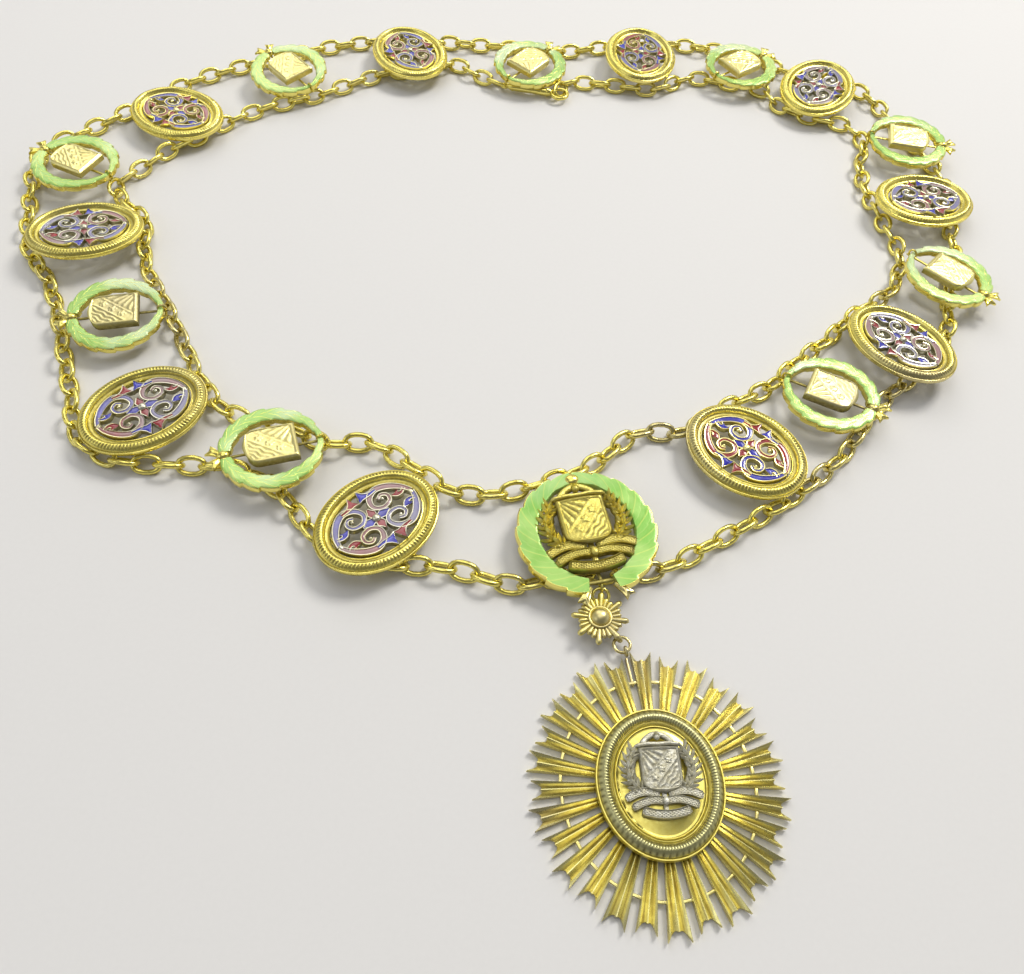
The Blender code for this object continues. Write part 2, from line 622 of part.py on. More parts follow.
def seat_height(place, outlines, chains):
    """Height at which a plaque's underside clears every chain point under its outline ellipses."""
    ground = np.array([place.x, place.y]) * PLAN
    heading = math.radians(place.heading)
    out = np.array([math.cos(heading), math.sin(heading)])
    side = np.array([-out[1], out[0]])
    slopes = np.tan(np.radians([place.out_slope, place.side_slope]))
    height = CHAIN_HEIGHT + GAP
    for line in chains:
        dense = evenly_spaced(line[:, :2], len(line) * 8, False)
        offset = np.stack([(dense - ground) @ out, (dense - ground) @ side], axis=1)
        under = np.zeros(len(offset), dtype=bool)
        for outline in outlines:
            reach = np.array(outline) + CHAIN_HEIGHT / 2
            under |= np.hypot(*(offset / reach).T) < 1.0
        if under.any():
            height = max(height, (CHAIN_HEIGHT + GAP - offset[under] @ slopes).max())
    return height


def plaque_rotation(place):
    """Turn to the heading, after the two slopes."""
    return (Matrix.Rotation(math.radians(place.heading), 4, "Z")
            @ Matrix.Rotation(-math.radians(place.out_slope), 4, "Y")
            @ Matrix.Rotation(math.radians(place.side_slope), 4, "X"))


def point_at(start, heading, reach):
    """Ground point at a distance and heading from another."""
    return np.array([start[0] + math.cos(heading) * reach, start[1] + math.sin(heading) * reach])


def build_plaques(root, chains):
    """Nineteen plaques in their places, each on an empty of its own."""
    rim = rim_mesh()
    scroll = scroll_mesh()
    wreath = wreath_mesh()
    low = BEARER_HEIGHT + GAP * 1.5
    shield = shield_mesh("shield", SHIELD_HEIGHT, SHIELD_WIDTH, SHIELD_THICKNESS, low)
    counts = {"oval": 0, "wreath": 0}
    wreath_radius = WREATH_DIAMETER / 2
    outlines = {"oval": [(OVAL_LENGTH / 2, OVAL_WIDTH / 2)],
                "wreath": [(wreath_radius, wreath_radius), (wreath_radius + TAIL_LENGTH, KNOT_WIDTH)]}
    for place in PLACES:
        if place.kind == "big":
            continue
        counts[place.kind] += 1
        number = f"{counts[place.kind]:02d}"
        height = seat_height(place, outlines[place.kind], chains)
        seat = add_empty(f"seat_{place.kind}_{number}", root, (place.x * PLAN, place.y * PLAN, height),
                         plaque_rotation(place))
        if place.kind == "oval":
            add(f"oval_rim_{number}", rim, "gold", seat)
            add(f"oval_scroll_{number}", scroll, "enamel_scroll", seat)
        else:
            add(f"wreath_{number}", wreath, "enamel_green", seat)
            add(f"wreath_shield_{number}", shield, "gold", seat)


def build_pendant(root):
    """Large wreath, star link, badge and the two rings between them, hung one from the other."""
    big = PLACES[0]
    seat_z = CHAIN_HEIGHT + GAP
    big_point = np.array([big.x, big.y]) * PLAN
    big_heading = math.radians(big.heading)
    big_seat = add_empty("seat_big_wreath", root, (*big_point, seat_z), plaque_rotation(big))
    add("big_wreath", big_wreath_mesh(), "enamel_green", big_seat)
    add("big_arms", arms_mesh("big_arms", BIG_ARMS_WIDTH, ARMS_THICKNESS, BEARER_HEIGHT + GAP * 1.5),
        "arms_gold", big_seat)

    eye_z = RAY_LIFT + RAY_THICKNESS + GAP + RING_WIRE / 2
    star_z = eye_z + EYE_DIAMETER / 2 - EYE_SINK
    upper_eye = point_at(big_point, big_heading, BIG_EYE_X)
    star_upper_eye = point_at(upper_eye, STAR_DROP_HEADING, RING_REACH * 0.9)
    star_point = point_at(star_upper_eye, STAR_DROP_HEADING, STAR_UPPER_EYE)
    star_seat = add_empty("seat_star", root, (*star_point, star_z))
    star = star_mesh(STAR_DROP_HEADING + math.pi, BADGE_DROP_HEADING)
    add("star_link", star, "gold", star_seat)
    add_ring("upper_ring", (*upper_eye, seat_z - BIG_EYE_DROP), (*star_upper_eye, eye_z), root)

    star_lower_eye = point_at(star_point, BADGE_DROP_HEADING, STAR_LOWER_EYE)
    ring_middle = point_at(star_lower_eye, BADGE_DROP_HEADING, RING_REACH / 2)
    badge_eye = point_at(ring_middle, BADGE_HANG_HEADING, RING_REACH / 2)
    eye_reach = BADGE_HEIGHT / 2
    badge_point = point_at(badge_eye, BADGE_HANG_HEADING, eye_reach)
    half_pitch = math.pi / BADGE_RAYS
    lean = BADGE_HANG_HEADING + math.pi - math.pi / 2 - half_pitch
    badge_seat = add_empty("seat_badge", root, (*badge_point, 0), Matrix.Rotation(lean, 4, "Z"))
    add("badge_rays", badge_rays_mesh(math.pi / 2 + half_pitch, eye_reach, eye_z), "gold", badge_seat)
    medallion = add("badge_medallion", medallion_mesh(), "gold", badge_seat)
    medallion.location.z = HUB_HEIGHT + GAP
    field = MEDALLION_RISE * 0.62 + FIELD_RISE
    arms = add("badge_arms", arms_mesh("badge_arms", BADGE_ARMS_WIDTH, ARMS_THICKNESS * 0.6, 0), "arms_gold",
               badge_seat)
    arms.matrix_local = (Matrix.Translation((0, 0, HUB_HEIGHT + field + 2 * GAP))
                         @ Matrix.Rotation(-math.pi / 2, 4, "Z"))
    add_ring("lower_ring", (*star_lower_eye, eye_z), (*badge_eye, eye_z), root)


def build_chains(root):
    """The two chains and the clasp that closes the inner one."""
    outer = chain_line(OUTER_ROUTE, True)
    add_chain("chain_outer", outer, True, root)
    inner = chain_line(INNER_ROUTE, False)
    start, end = inner[0, :2], inner[-1, :2]
    middle = (start + end) / 2
    heading = math.atan2(*(start - end)[::-1])
    clasp_seat = add_empty("seat_clasp", root, (*middle, CHAIN_HEIGHT / 2), Matrix.Rotation(heading, 4, "Z"))
    add("clasp", clasp_mesh(), "gold", clasp_seat)
    inner = end_at_ring(inner, point_at(middle, heading, CLASP_RING_X), CLASP_RING_DIAMETER)
    inner = end_at_ring(inner[::-1], point_at(middle, heading, CLASP_EYE_X), CLASP_EYE_DIAMETER)
    add_chain("chain_inner", inner, False, root)
    return np.vstack([outer, outer[:1]]), inner


def centre_on_origin(root):
    """Move the whole collar so that its box stands on z = 0 over the origin."""
    bpy.context.view_layer.update()
    corners = []
    depsgraph = bpy.context.evaluated_depsgraph_get()
    for piece in bpy.data.objects:
        if piece.type == "EMPTY":
            continue
        solid = piece.evaluated_get(depsgraph)
        corners += [piece.matrix_world @ vertex.co for vertex in solid.to_mesh().vertices]
        solid.to_mesh_clear()
    corners = np.array(corners)
    low, high = corners.min(axis=0), corners.max(axis=0)
    root.location = (-(low[0] + high[0]) / 2, -(low[1] + high[1]) / 2, -low[2])


# Where the ring and the eye of the clasp sit along it
CLASP_RING_X = (CLASP_LENGTH + CLASP_RING_DIAMETER - CLASP_RING_WIRE) / 2
CLASP_EYE_X = -(CLASP_LENGTH + CLASP_EYE_DIAMETER - CLASP_EYE_WIRE) / 2

# Where the eyes of the large wreath and the star link sit, and the headings of the drop
BIG_EYE_DROP = EYE_DIAMETER / 2 - EYE_SINK - STAGGER
BIG_EYE_X = BIG_DIAMETER / 2 - BIG_BAND / 2 - EYE_SINK
STAR_UPPER_EYE = STAR_DIAMETER * 0.33
STAR_LOWER_EYE = STAR_DIAMETER * 0.44
STAR_DROP_HEADING = math.radians(268)
BADGE_DROP_HEADING = math.radians(-42)
BADGE_HANG_HEADING = math.radians(-76.6)


def main():
    """Build the collar in an empty scene."""
    for old in list(bpy.data.objects):
        bpy.data.objects.remove(old)
    root = add_empty("collar", None)
    chains = build_chains(root)
    build_plaques(root, chains)
    build_pendant(root)
    centre_on_origin(root)


main()
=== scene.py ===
"""Collar of an order, dressed: chain links, engraved rims, enamelled scrolls and wreaths, and a rayed badge.

Laid out as a Blender add-on and run as a script. Lengths are metres, angles are radians unless a
property says otherwise, and every surface is an array worked out from two parameters.
"""
import math
from collections import namedtuple

import bmesh
import bpy
import numpy as np
from bpy.props import FloatProperty, FloatVectorProperty, IntProperty, PointerProperty
from mathutils import Matrix, Vector


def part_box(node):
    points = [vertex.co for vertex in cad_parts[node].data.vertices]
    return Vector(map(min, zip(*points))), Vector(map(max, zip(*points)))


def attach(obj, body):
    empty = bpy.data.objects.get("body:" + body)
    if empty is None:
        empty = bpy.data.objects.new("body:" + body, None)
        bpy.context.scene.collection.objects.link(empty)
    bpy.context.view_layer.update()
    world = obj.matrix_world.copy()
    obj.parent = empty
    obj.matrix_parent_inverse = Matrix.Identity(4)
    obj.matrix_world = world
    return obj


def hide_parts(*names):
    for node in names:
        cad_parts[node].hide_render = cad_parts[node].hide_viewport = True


bl_info = {
    "name": "Collar of an Order",
    "version": (1, 0, 0),
    "blender": (4, 5, 0),
    "location": "3D View > Sidebar > Collar",
    "description": "Models the links, plaques, wreaths and badge of a ceremonial collar",
    "category": "Add Mesh",
}

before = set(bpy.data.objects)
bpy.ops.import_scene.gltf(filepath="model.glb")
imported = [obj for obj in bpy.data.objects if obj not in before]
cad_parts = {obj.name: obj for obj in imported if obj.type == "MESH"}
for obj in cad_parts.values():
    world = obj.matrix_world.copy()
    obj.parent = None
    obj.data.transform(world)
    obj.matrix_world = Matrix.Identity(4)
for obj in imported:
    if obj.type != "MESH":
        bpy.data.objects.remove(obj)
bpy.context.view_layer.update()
GAP = 0.0003
MEETING = 1e-7
BODY = "root"

# The layout of the construction: places and routes in plaque widths, headings and slopes in degrees
Place = namedtuple("Place", "kind x y heading out_slope side_slope")
PLACES = [
    Place("big", 0.72, 4.35, 286, 0, 0),
    Place("oval", -1.21, 4.30, 232, 2, 1),
    Place("wreath", -2.33, 4.99, 201, 2, 2),
    Place("oval", -3.66, 5.34, 219, 0, -2),
    Place("wreath", -4.33, 6.57, 195, 0, -3),
    Place("oval", -5.03, 7.76, 201, 3, 4),
    Place("wreath", -5.55, 8.95, 160, 2, 1),
    Place("oval", -4.65, 10.11, 153, 0, 0),
    Place("wreath", -3.43, 11.17, 137, 3, -4),
    Place("oval", -1.90, 11.88, 117, 0, 1),
    Place("wreath", -0.23, 11.85, 55, 1, 3),
    Place("oval", 1.30, 12.24, 86, 1, 4),
    Place("wreath", 2.72, 12.20, 40, 0, 2),
    Place("oval", 3.75, 11.81, 66, 3, -1),
    Place("wreath", 4.81, 10.75, 352, 0, 3),
    Place("oval", 4.79, 9.53, 18, -3, -2),
    Place("wreath", 4.83, 8.20, 321, -1, -3),
    Place("oval", 4.08, 7.06, 309, 3, -3),
    Place("wreath", 3.22, 6.26, 337, 1, -1),
    Place("oval", 2.27, 5.44, 322, 1, 3),
]
OUTER_ROUTE = [
    (0.78, 3.98), (0.40, 3.90), (0.08, 3.81), (-0.51, 3.93), (-1.14, 3.92), (-1.63, 4.04), (-1.96, 4.36),
    (-2.26, 4.66), (-2.71, 4.82), (-3.25, 4.80), (-3.83, 4.81), (-4.25, 5.03), (-4.46, 5.48),
    (-4.73, 6.05), (-5.00, 6.62), (-5.30, 7.14), (-5.66, 7.56), (-5.84, 8.07), (-6.00, 8.58),
    (-6.12, 9.06), (-6.00, 9.46), (-5.62, 9.86), (-5.30, 10.28), (-5.00, 10.70), (-4.55, 11.13),
    (-3.94, 11.55), (-3.31, 11.93), (-2.65, 12.22), (-1.98, 12.43), (-1.27, 12.40), (-0.54, 12.43),
    (0.14, 12.41), (0.74, 12.60), (1.32, 12.78), (1.87, 12.84), (2.47, 12.76), (3.04, 12.57),
    (3.55, 12.36), (4.10, 12.24), (4.49, 11.92), (4.76, 11.36), (5.03, 10.72), (5.20, 10.15),
    (5.12, 9.49), (5.08, 8.83), (4.88, 8.13), (4.73, 7.47), (4.50, 6.96), (4.04, 6.57),
    (3.64, 6.11), (3.31, 5.60), (2.92, 5.20), (2.47, 4.82), (1.93, 4.43), (1.38, 4.08),
]
INNER_ROUTE = [
    (0.17, 11.40), (0.36, 11.68), (0.90, 11.69), (1.51, 11.69), (1.98, 12.00), (2.41, 11.98),
    (3.00, 11.86), (3.25, 11.50), (3.67, 11.30), (4.12, 11.17), (4.28, 10.80), (4.16, 10.30),
    (4.19, 9.70), (4.31, 9.13), (4.39, 8.64), (4.19, 8.04), (3.73, 7.62), (3.34, 7.17), (2.95, 6.78),
    (2.62, 6.41), (2.11, 6.05), (1.69, 5.72), (1.20, 5.63), (0.81, 5.24), (0.42, 5.00), (-0.09, 4.79),
    (-0.54, 4.76), (-0.96, 5.00), (-1.42, 5.24), (-1.87, 5.21), (-2.35, 5.39), (-2.86, 5.48),
    (-3.22, 5.81), (-3.58, 6.36), (-3.86, 6.81), (-4.22, 7.32), (-4.40, 7.74), (-4.52, 8.16),
    (-4.82, 8.46), (-5.03, 8.73), (-4.85, 9.10), (-4.61, 9.49), (-4.31, 9.82), (-4.01, 10.21),
    (-3.64, 10.54), (-3.16, 10.81), (-2.68, 11.17), (-2.17, 11.54), (-1.69, 11.66), (-1.27, 11.87),
    (-0.87, 11.63), (-0.57, 11.49),
]
BADGE_LEAN = math.radians(6.97)
UPRIGHT = np.array([(1, 0, 0), (0, 0, -1), (0, 1, 0)])
# Eyes and jump rings: centre-line radius and wire
EYE_REACH, EYE_WIRE = 0.00125, 0.0009
RING_REACH, RING_WIRE = 0.0024, 0.00095


def a_length(name, description, default):
    """A length in metres, shown with its unit."""
    return FloatProperty(name=name, description=description, default=default, min=0.0,
                         unit="LENGTH", precision=5)


def a_colour(name, description, default):
    """A colour in linear light."""
    return FloatVectorProperty(name=name, description=description, default=default,
                               min=0.0, max=1.0, size=3, subtype="COLOR")


class CollarSizes(bpy.types.PropertyGroup):
    """Sizes of the pieces."""
    link_length: a_length("Link length", "Outside length of a chain link", 0.0106)
    link_width: a_length("Link width", "Outside width of a chain link", 0.0071)
    link_wire: a_length("Link wire", "Thickness of a link's wire", 0.00172)
    link_roll: FloatProperty(name="Link roll", description="Turn of a lying link about the chain's line",
                             default=math.radians(43), subtype="ANGLE")
    oval_length: a_length("Oval length", "Long axis of an oval plaque", 0.0420)
    oval_width: a_length("Oval width", "Short axis of an oval plaque", 0.0330)
    oval_band: a_length("Oval band", "Width of the rim round an oval plaque", 0.0052)
    oval_rise: a_length("Oval rise", "Height of the rim", 0.0030)
    oval_ticks: IntProperty(name="Oval ticks", description="Engraved strokes round a rim", default=100,
                            min=12)
    stroke_width: a_length("Stroke width", "Widest enamelled stroke of a scroll", 0.0029)
    cloison: a_length("Cloison", "Gold edge beside the enamel", 0.00050)
    wreath_diameter: a_length("Wreath diameter", "Outside diameter of a small wreath", 0.0334)
    wreath_band: a_length("Wreath band", "Widest part of a branch", 0.0058)
    wreath_rise: a_length("Wreath rise", "Height of a branch", 0.0026)
    shield_height: a_length("Shield height", "Length of the shield along the plaque's heading", 0.0170)
    shield_width: a_length("Shield width", "Width of the shield", 0.0140)
    shield_thickness: a_length("Shield thickness", "Thickness of the shield", 0.0028)
    big_diameter: a_length("Large wreath diameter", "Outside diameter of the large wreath", 0.0440)
    big_band: a_length("Large wreath band", "Widest part of its branches", 0.0074)
    big_arms: a_length("Large relief", "Width of the relief in the large wreath", 0.0300)
    star_diameter: a_length("Star diameter", "Across the long rays of the star link", 0.0168)
    badge_width: a_length("Badge width", "Across the rays, from side to side", 0.0700)
    badge_height: a_length("Badge height", "Across the rays, from head to foot", 0.0755)
    medallion_width: a_length("Medallion width", "Short axis of the medallion", 0.0343)
    medallion_height: a_length("Medallion height", "Long axis of the medallion", 0.0396)
    badge_arms: a_length("Badge relief", "Width of the relief on the medallion", 0.0216)


class CollarColours(bpy.types.PropertyGroup):
    """Colours of the finishes."""
    gold: a_colour("Gold", "Clean gilding", (0.89, 0.785, 0.21))
    pale_gold: a_colour("Pale gold", "Lighter gilding of the shields", (0.94, 0.85, 0.38))
    ray_gold: a_colour("Ray gold", "Paler gilding of the rays", (0.94, 0.86, 0.35))
    ray_film: a_colour("Ray film", "Olive film on some of the rays", (0.56, 0.53, 0.27))
    # Tarnish is the patina's colour, and it also serves as painted shade on the ovals' inner slope and
    # flange
    tarnish: a_colour("Tarnish", "Brown film in the hollows", (0.080, 0.062, 0.026))
    rust: a_colour("Rust", "Brown film in the grooves of the rays", (0.24, 0.145, 0.055))
    grey_relief: a_colour("Grey relief", "Worn relief on the medallion", (0.65, 0.64, 0.55))
    film: a_colour("Film", "Grey film on the medallion's band", (0.53, 0.52, 0.28))
    age: a_colour("Age", "Grey-violet film that comes and goes along the collar", (0.46, 0.40, 0.36))
    thin_enamel: a_colour("Thin enamel", "Scroll enamel where it is thinnest", (0.43, 0.40, 0.40))
    green: a_colour("Green", "Leaf enamel", (0.22, 0.55, 0.055))
    mint: a_colour("Mint", "Thin leaf enamel over bright gold", (0.63, 0.88, 0.26))
    # Painted reflection: whitish sheen laid on the leaf enamel, mostly on each wreath's far side
    sheen: a_colour("Sheen", "Whitish bloom on the leaf enamel", (0.74, 0.86, 0.60))
    red: a_colour("Red", "Scroll enamel, red", (0.30, 0.008, 0.012))
    blue: a_colour("Blue", "Scroll enamel, blue", (0.020, 0.022, 0.42))
    floor: a_colour("Floor", "Studio floor", (0.80, 0.79, 0.77))


def sizes():
    """The scene's size settings."""
    return bpy.context.scene.collar_sizes


def colours():
    """The scene's colour settings."""
    return bpy.context.scene.collar_colours


# Surfaces

def grid(*parts):
    """Arrays of one grid, joined as its last axis."""
    return np.stack(np.broadcast_arrays(*parts), axis=-1)


def circle(steps):
    """Even angles round a circle."""
    return np.arange(steps) * 2 * np.pi / steps


def ramp(value, low, high):
    """Share of the way from low to high, held between 0 and 1."""
    return np.clip((value - low) / (high - low), 0, 1)


def squared(value, power):
    """The value's sign times a power of its size, which squares off a round section."""
    return np.sign(value) * np.abs(value) ** power


def patch(points, ends="fan", uv=None, **fields):
    """Quads over a grid of points (rows, columns, 3), each row closed on itself.

    The first and the last row have a fan over them, join in a "loop" or have "met" already. uv gives one
    value for each row and one for each column, with an extra one where the grid closes. Each field is a
    number for each point, or one number for all.
    """
    rows, columns = points.shape[:2]
    number = np.arange(rows * columns).reshape(rows, columns)
    if ends == "loop":
        number = np.vstack([number, number[:1]])
    number = np.column_stack([number, number[:, :1]])
    along, across = uv or (np.linspace(0, 1, count) for count in number.shape)
    chart = grid(along[:, None], across)

    def corners(table):
        return np.stack([table[:-1, :-1], table[1:, :-1], table[1:, 1:], table[:-1, 1:]], axis=2)

    verts = points.reshape(-1, 3)
    values = {name: np.broadcast_to(field, (rows, columns)).ravel() for name, field in fields.items()}
    triangles, triangle_uv = np.zeros((0, 3), dtype=int), np.zeros((0, 3, 2))
    for row in (0, -1) if ends == "fan" else ():
        edge, chart_edge = number[row], chart[row]
        fan = np.stack([edge[:-1], edge[1:], np.full(len(edge) - 1, len(verts))], axis=1)
        fan_uv = np.stack([chart_edge[:-1], chart_edge[1:], chart_edge[:-1]], axis=1)
        verts = np.vstack([verts, verts[edge].mean(axis=0)])
        values = {name: np.append(value, value[edge].mean()) for name, value in values.items()}
        triangles, triangle_uv = np.vstack([triangles, fan]), np.vstack([triangle_uv, fan_uv])
    return {"verts": verts, "quads": corners(number).reshape(-1, 4),
            "quad_uv": corners(chart).reshape(-1, 4, 2), "triangles": triangles,
            "triangle_uv": triangle_uv, "values": values}


def placed(shape, turn=None, spot=(0, 0, 0)):
    """The patch turned by a 3 x 3 rotation and moved to its spot."""
    turn = np.eye(3) if turn is None else turn
    return {**shape, "verts": shape["verts"] @ turn.T + np.asarray(spot)}


def tagged(shape, **fields):
    """The patch with more fields, each a number for each point, or one number for all."""
    added = {name: np.broadcast_to(value, len(shape["verts"])) for name, value in fields.items()}
    return {**shape, "values": {**shape["values"], **added}}


def repeated(shape, turns, spots):
    """Copies of a patch, one for each rotation (copies, 3, 3) and spot (copies, 3)."""
    copies = len(spots)
    verts = np.einsum("kij,nj->kni", turns, shape["verts"]) + spots[:, None, :]
    step = (np.arange(copies) * len(shape["verts"]))[:, None, None]
    copied = {key: (shape[key] + step).reshape(-1, shape[key].shape[1]) for key in ("quads", "triangles")}
    charts = {key: np.tile(shape[key], (copies, 1, 1)) for key in ("quad_uv", "triangle_uv")}
    values = {name: np.tile(value, copies) for name, value in shape["values"].items()}
    return {"verts": verts.reshape(-1, 3), **copied, **charts, "values": values}


def turns_about_z(angles):
    """Rotations about z, one for each angle."""
    angles = np.asarray(angles, dtype=float)
    cos, sin, zero, one = np.cos(angles), np.sin(angles), np.zeros(angles.shape), np.ones(angles.shape)
    return grid(cos, -sin, zero, sin, cos, zero, zero, zero, one).reshape(-1, 3, 3)


def turn_z(angle):
    """Rotation about z."""
    return turns_about_z([angle])[0]


def make_piece(name, shapes, material, slot, replaces=(), crease=38, turn=None, spot=(0, 0, 0)):
    """One object from several patches, turned and moved alike, faces outwards, riding on the collar."""
    shapes = [placed(shape, turn, spot) for shape in shapes]
    counts = np.cumsum([0] + [len(shape["verts"]) for shape in shapes])

    def joined(key):
        return np.vstack([shape[key] + start for shape, start in zip(shapes, counts)])

    verts = np.vstack([shape["verts"] for shape in shapes])
    quads, triangles = joined("quads"), joined("triangles")
    corners = np.concatenate([quads.ravel(), triangles.ravel()]).astype(np.int32)
    starts = np.concatenate([np.arange(len(quads)) * 4, len(quads) * 4 + np.arange(len(triangles)) * 3])
    mesh = bpy.data.meshes.new(name)
    mesh.vertices.add(len(verts))
    mesh.vertices.foreach_set("co", verts.ravel())
    mesh.loops.add(len(corners))
    mesh.loops.foreach_set("vertex_index", corners)
    mesh.polygons.add(len(starts))
    mesh.polygons.foreach_set("loop_start", starts.astype(np.int32))
    mesh.update(calc_edges=True)
    chart = mesh.uv_layers.new(name="chart")
    chart.uv.foreach_set("vector", np.concatenate([
        shape[key].ravel() for key in ("quad_uv", "triangle_uv") for shape in shapes]))
    for field in sorted({field for shape in shapes for field in shape["values"]}):
        layer = mesh.attributes.new(field, "FLOAT", "POINT")
        layer.data.foreach_set("value", np.concatenate([
            shape["values"].get(field, np.zeros(len(shape["verts"]))) for shape in shapes]))
    bm = bmesh.new()
    bm.from_mesh(mesh)
    bmesh.ops.remove_doubles(bm, verts=bm.verts, dist=MEETING)
    bmesh.ops.recalc_face_normals(bm, faces=bm.faces)
    bm.to_mesh(mesh)
    bm.free()
    mesh.shade_smooth()
    mesh.set_sharp_from_angle(angle=math.radians(crease))
    mesh.materials.append(material)
    piece = bpy.data.objects.new(name, mesh)
    bpy.context.scene.collection.objects.link(piece)
    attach(piece, BODY)
    if replaces:
        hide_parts(*replaces)


def smooth_route(points, closed=False, per_span=24):
    """Catmull-Rom curve through the points."""
    points = np.asarray(points, dtype=float)
    if closed:
        padded = np.vstack([points[-1:], points, points[:2]])
    else:
        padded = np.vstack([2 * points[:1] - points[1:2], points, 2 * points[-1:] - points[-2:-1]])
    a, b, c, d = (padded[start:len(padded) - 3 + start, None, :] for start in range(4))
    t = np.linspace(0, 1, per_span, endpoint=False)[None, :, None]
    curve = b + 0.5 * t * (c - a + t * (2 * a - 5 * b + 4 * c - d + t * (3 * (b - c) + d - a)))
    curve = curve.reshape(-1, points.shape[1])
    return curve if closed else np.vstack([curve, points[-1:]])


def measured(route):
    """Distance along a route at each of its points."""
    return np.concatenate([[0], np.cumsum(np.linalg.norm(np.diff(route, axis=0), axis=1))])


def at_distance(route, stops):
    """Points of a route at given distances along it."""
    along = measured(route)
    return np.stack([np.interp(stops, along, column) for column in route.T], axis=1)


def tracked(route, rows):
    """Even points of a route, and the unit vectors ahead and to the left at each, as (rows, 1, 2)."""
    line = at_distance(route, np.linspace(0, measured(route)[-1], rows))
    ahead = np.gradient(line, axis=0)
    ahead /= np.linalg.norm(ahead, axis=1)[:, None]
    left = np.stack([-ahead[:, 1], ahead[:, 0]], axis=1)
    return line[:, None], ahead[:, None], left[:, None]


def raised(flat, height):
    """Ground points (rows, columns, 2) lifted to their heights."""
    return grid(flat[..., 0], flat[..., 1], height)


def footed(points, low=0.0):
    """Points dropped to a height."""
    return points * (1, 1, 0) + (0, 0, low)


def torus_patch(reach, wire, steps=36, sides=12, turn=None, spot=(0, 0, 0)):
    """Ring in the xy plane: centre-line radius reach, round wire."""
    around, section = circle(steps)[:, None], circle(sides)
    out = reach + wire / 2 * np.cos(section)
    points = grid(np.cos(around) * out, np.sin(around) * out, wire / 2 * np.sin(section))
    return placed(patch(points, "loop", groove=0.0), turn, spot)


def lump_patch(size, spot=(0, 0, 0), rows=10, columns=16):
    """Ellipsoid of the three full sizes; its poles are tiny closed rings on z."""
    polar = np.linspace(0.03, 1, rows)[:, None] * np.pi
    polar[-1] = np.pi * 0.97
    around = circle(columns)
    ball = grid(np.sin(polar) * np.cos(around), np.sin(polar) * np.sin(around), np.cos(polar))
    return placed(patch(ball * np.asarray(size) / 2, groove=0.0), None, spot)


def turned_patch(profile, half_x, half_y, steps, lift=0.0, **fields):
    """Oval turning: each profile row (inset, height) is carried round an ellipse at equal arc lengths.

    The point at inset d is ((half_x - d) cos a, (half_y - d) sin a, height + lift), and the profile closes
    on itself.
    """
    fine = np.linspace(0, 2 * np.pi, 2000)
    along = measured(np.stack([half_x * np.cos(fine), half_y * np.sin(fine)], axis=1))
    angle = np.interp(np.arange(steps) / steps * along[-1], along, fine)[:, None]
    inset, height = np.asarray(profile, dtype=float).T
    points = grid((half_x - inset) * np.cos(angle), (half_y - inset) * np.sin(angle), height + lift)
    return patch(points, "loop", **fields)


# Where things lie

def plan():
    """The layout's unit, the mean width of the plaques."""
    return (sizes().oval_width + sizes().wreath_diameter) / 2


def node_middle(node):
    """Middle of a CAD node's box."""
    return np.array(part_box(node)).sum(axis=0) / 2


def on_plan(points):
    """Layout points in the frame. The layout's origin is read at the first oval."""
    first = next(place for place in PLACES if place.kind == "oval")
    shift = node_middle("oval_rim_01")[:2] - np.array([first.x, first.y]) * plan()
    return np.array(points) * plan() + shift


def seat(place, node, outline):
    """Turn and spot of a plaque: its lowest outline point at its CAD node's lowest height."""
    turn = np.array(Matrix.Rotation(math.radians(place.heading), 3, "Z")
                    @ Matrix.Rotation(-math.radians(place.out_slope), 3, "Y")
                    @ Matrix.Rotation(math.radians(place.side_slope), 3, "X"))
    lowest = (outline @ turn.T)[:, 2].min()
    return turn, np.array([*on_plan((place.x, place.y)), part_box(node)[0][2] - lowest])


def numbered(kind):
    """Places of one kind with their node numbers."""
    same = (place for place in PLACES if place.kind == kind)
    return [(place, f"{number:02d}") for number, place in enumerate(same, start=1)]


# Node trees

class Signal:
    """Output of a node, which can be added, subtracted and multiplied, or asked for a sister output."""

    def __init__(self, graph, socket):
        self.graph = graph
        self.socket = socket

    def __getitem__(self, name):
        return Signal(self.graph, self.socket.node.outputs[name])

    def __add__(self, other):
        return self.graph.math("ADD", self, other)

    def __mul__(self, other):
        return self.graph.math("MULTIPLY", self, other)

    def __sub__(self, other):
        return self.graph.math("SUBTRACT", self, other)

    def __rsub__(self, other):
        return self.graph.math("SUBTRACT", other, self)


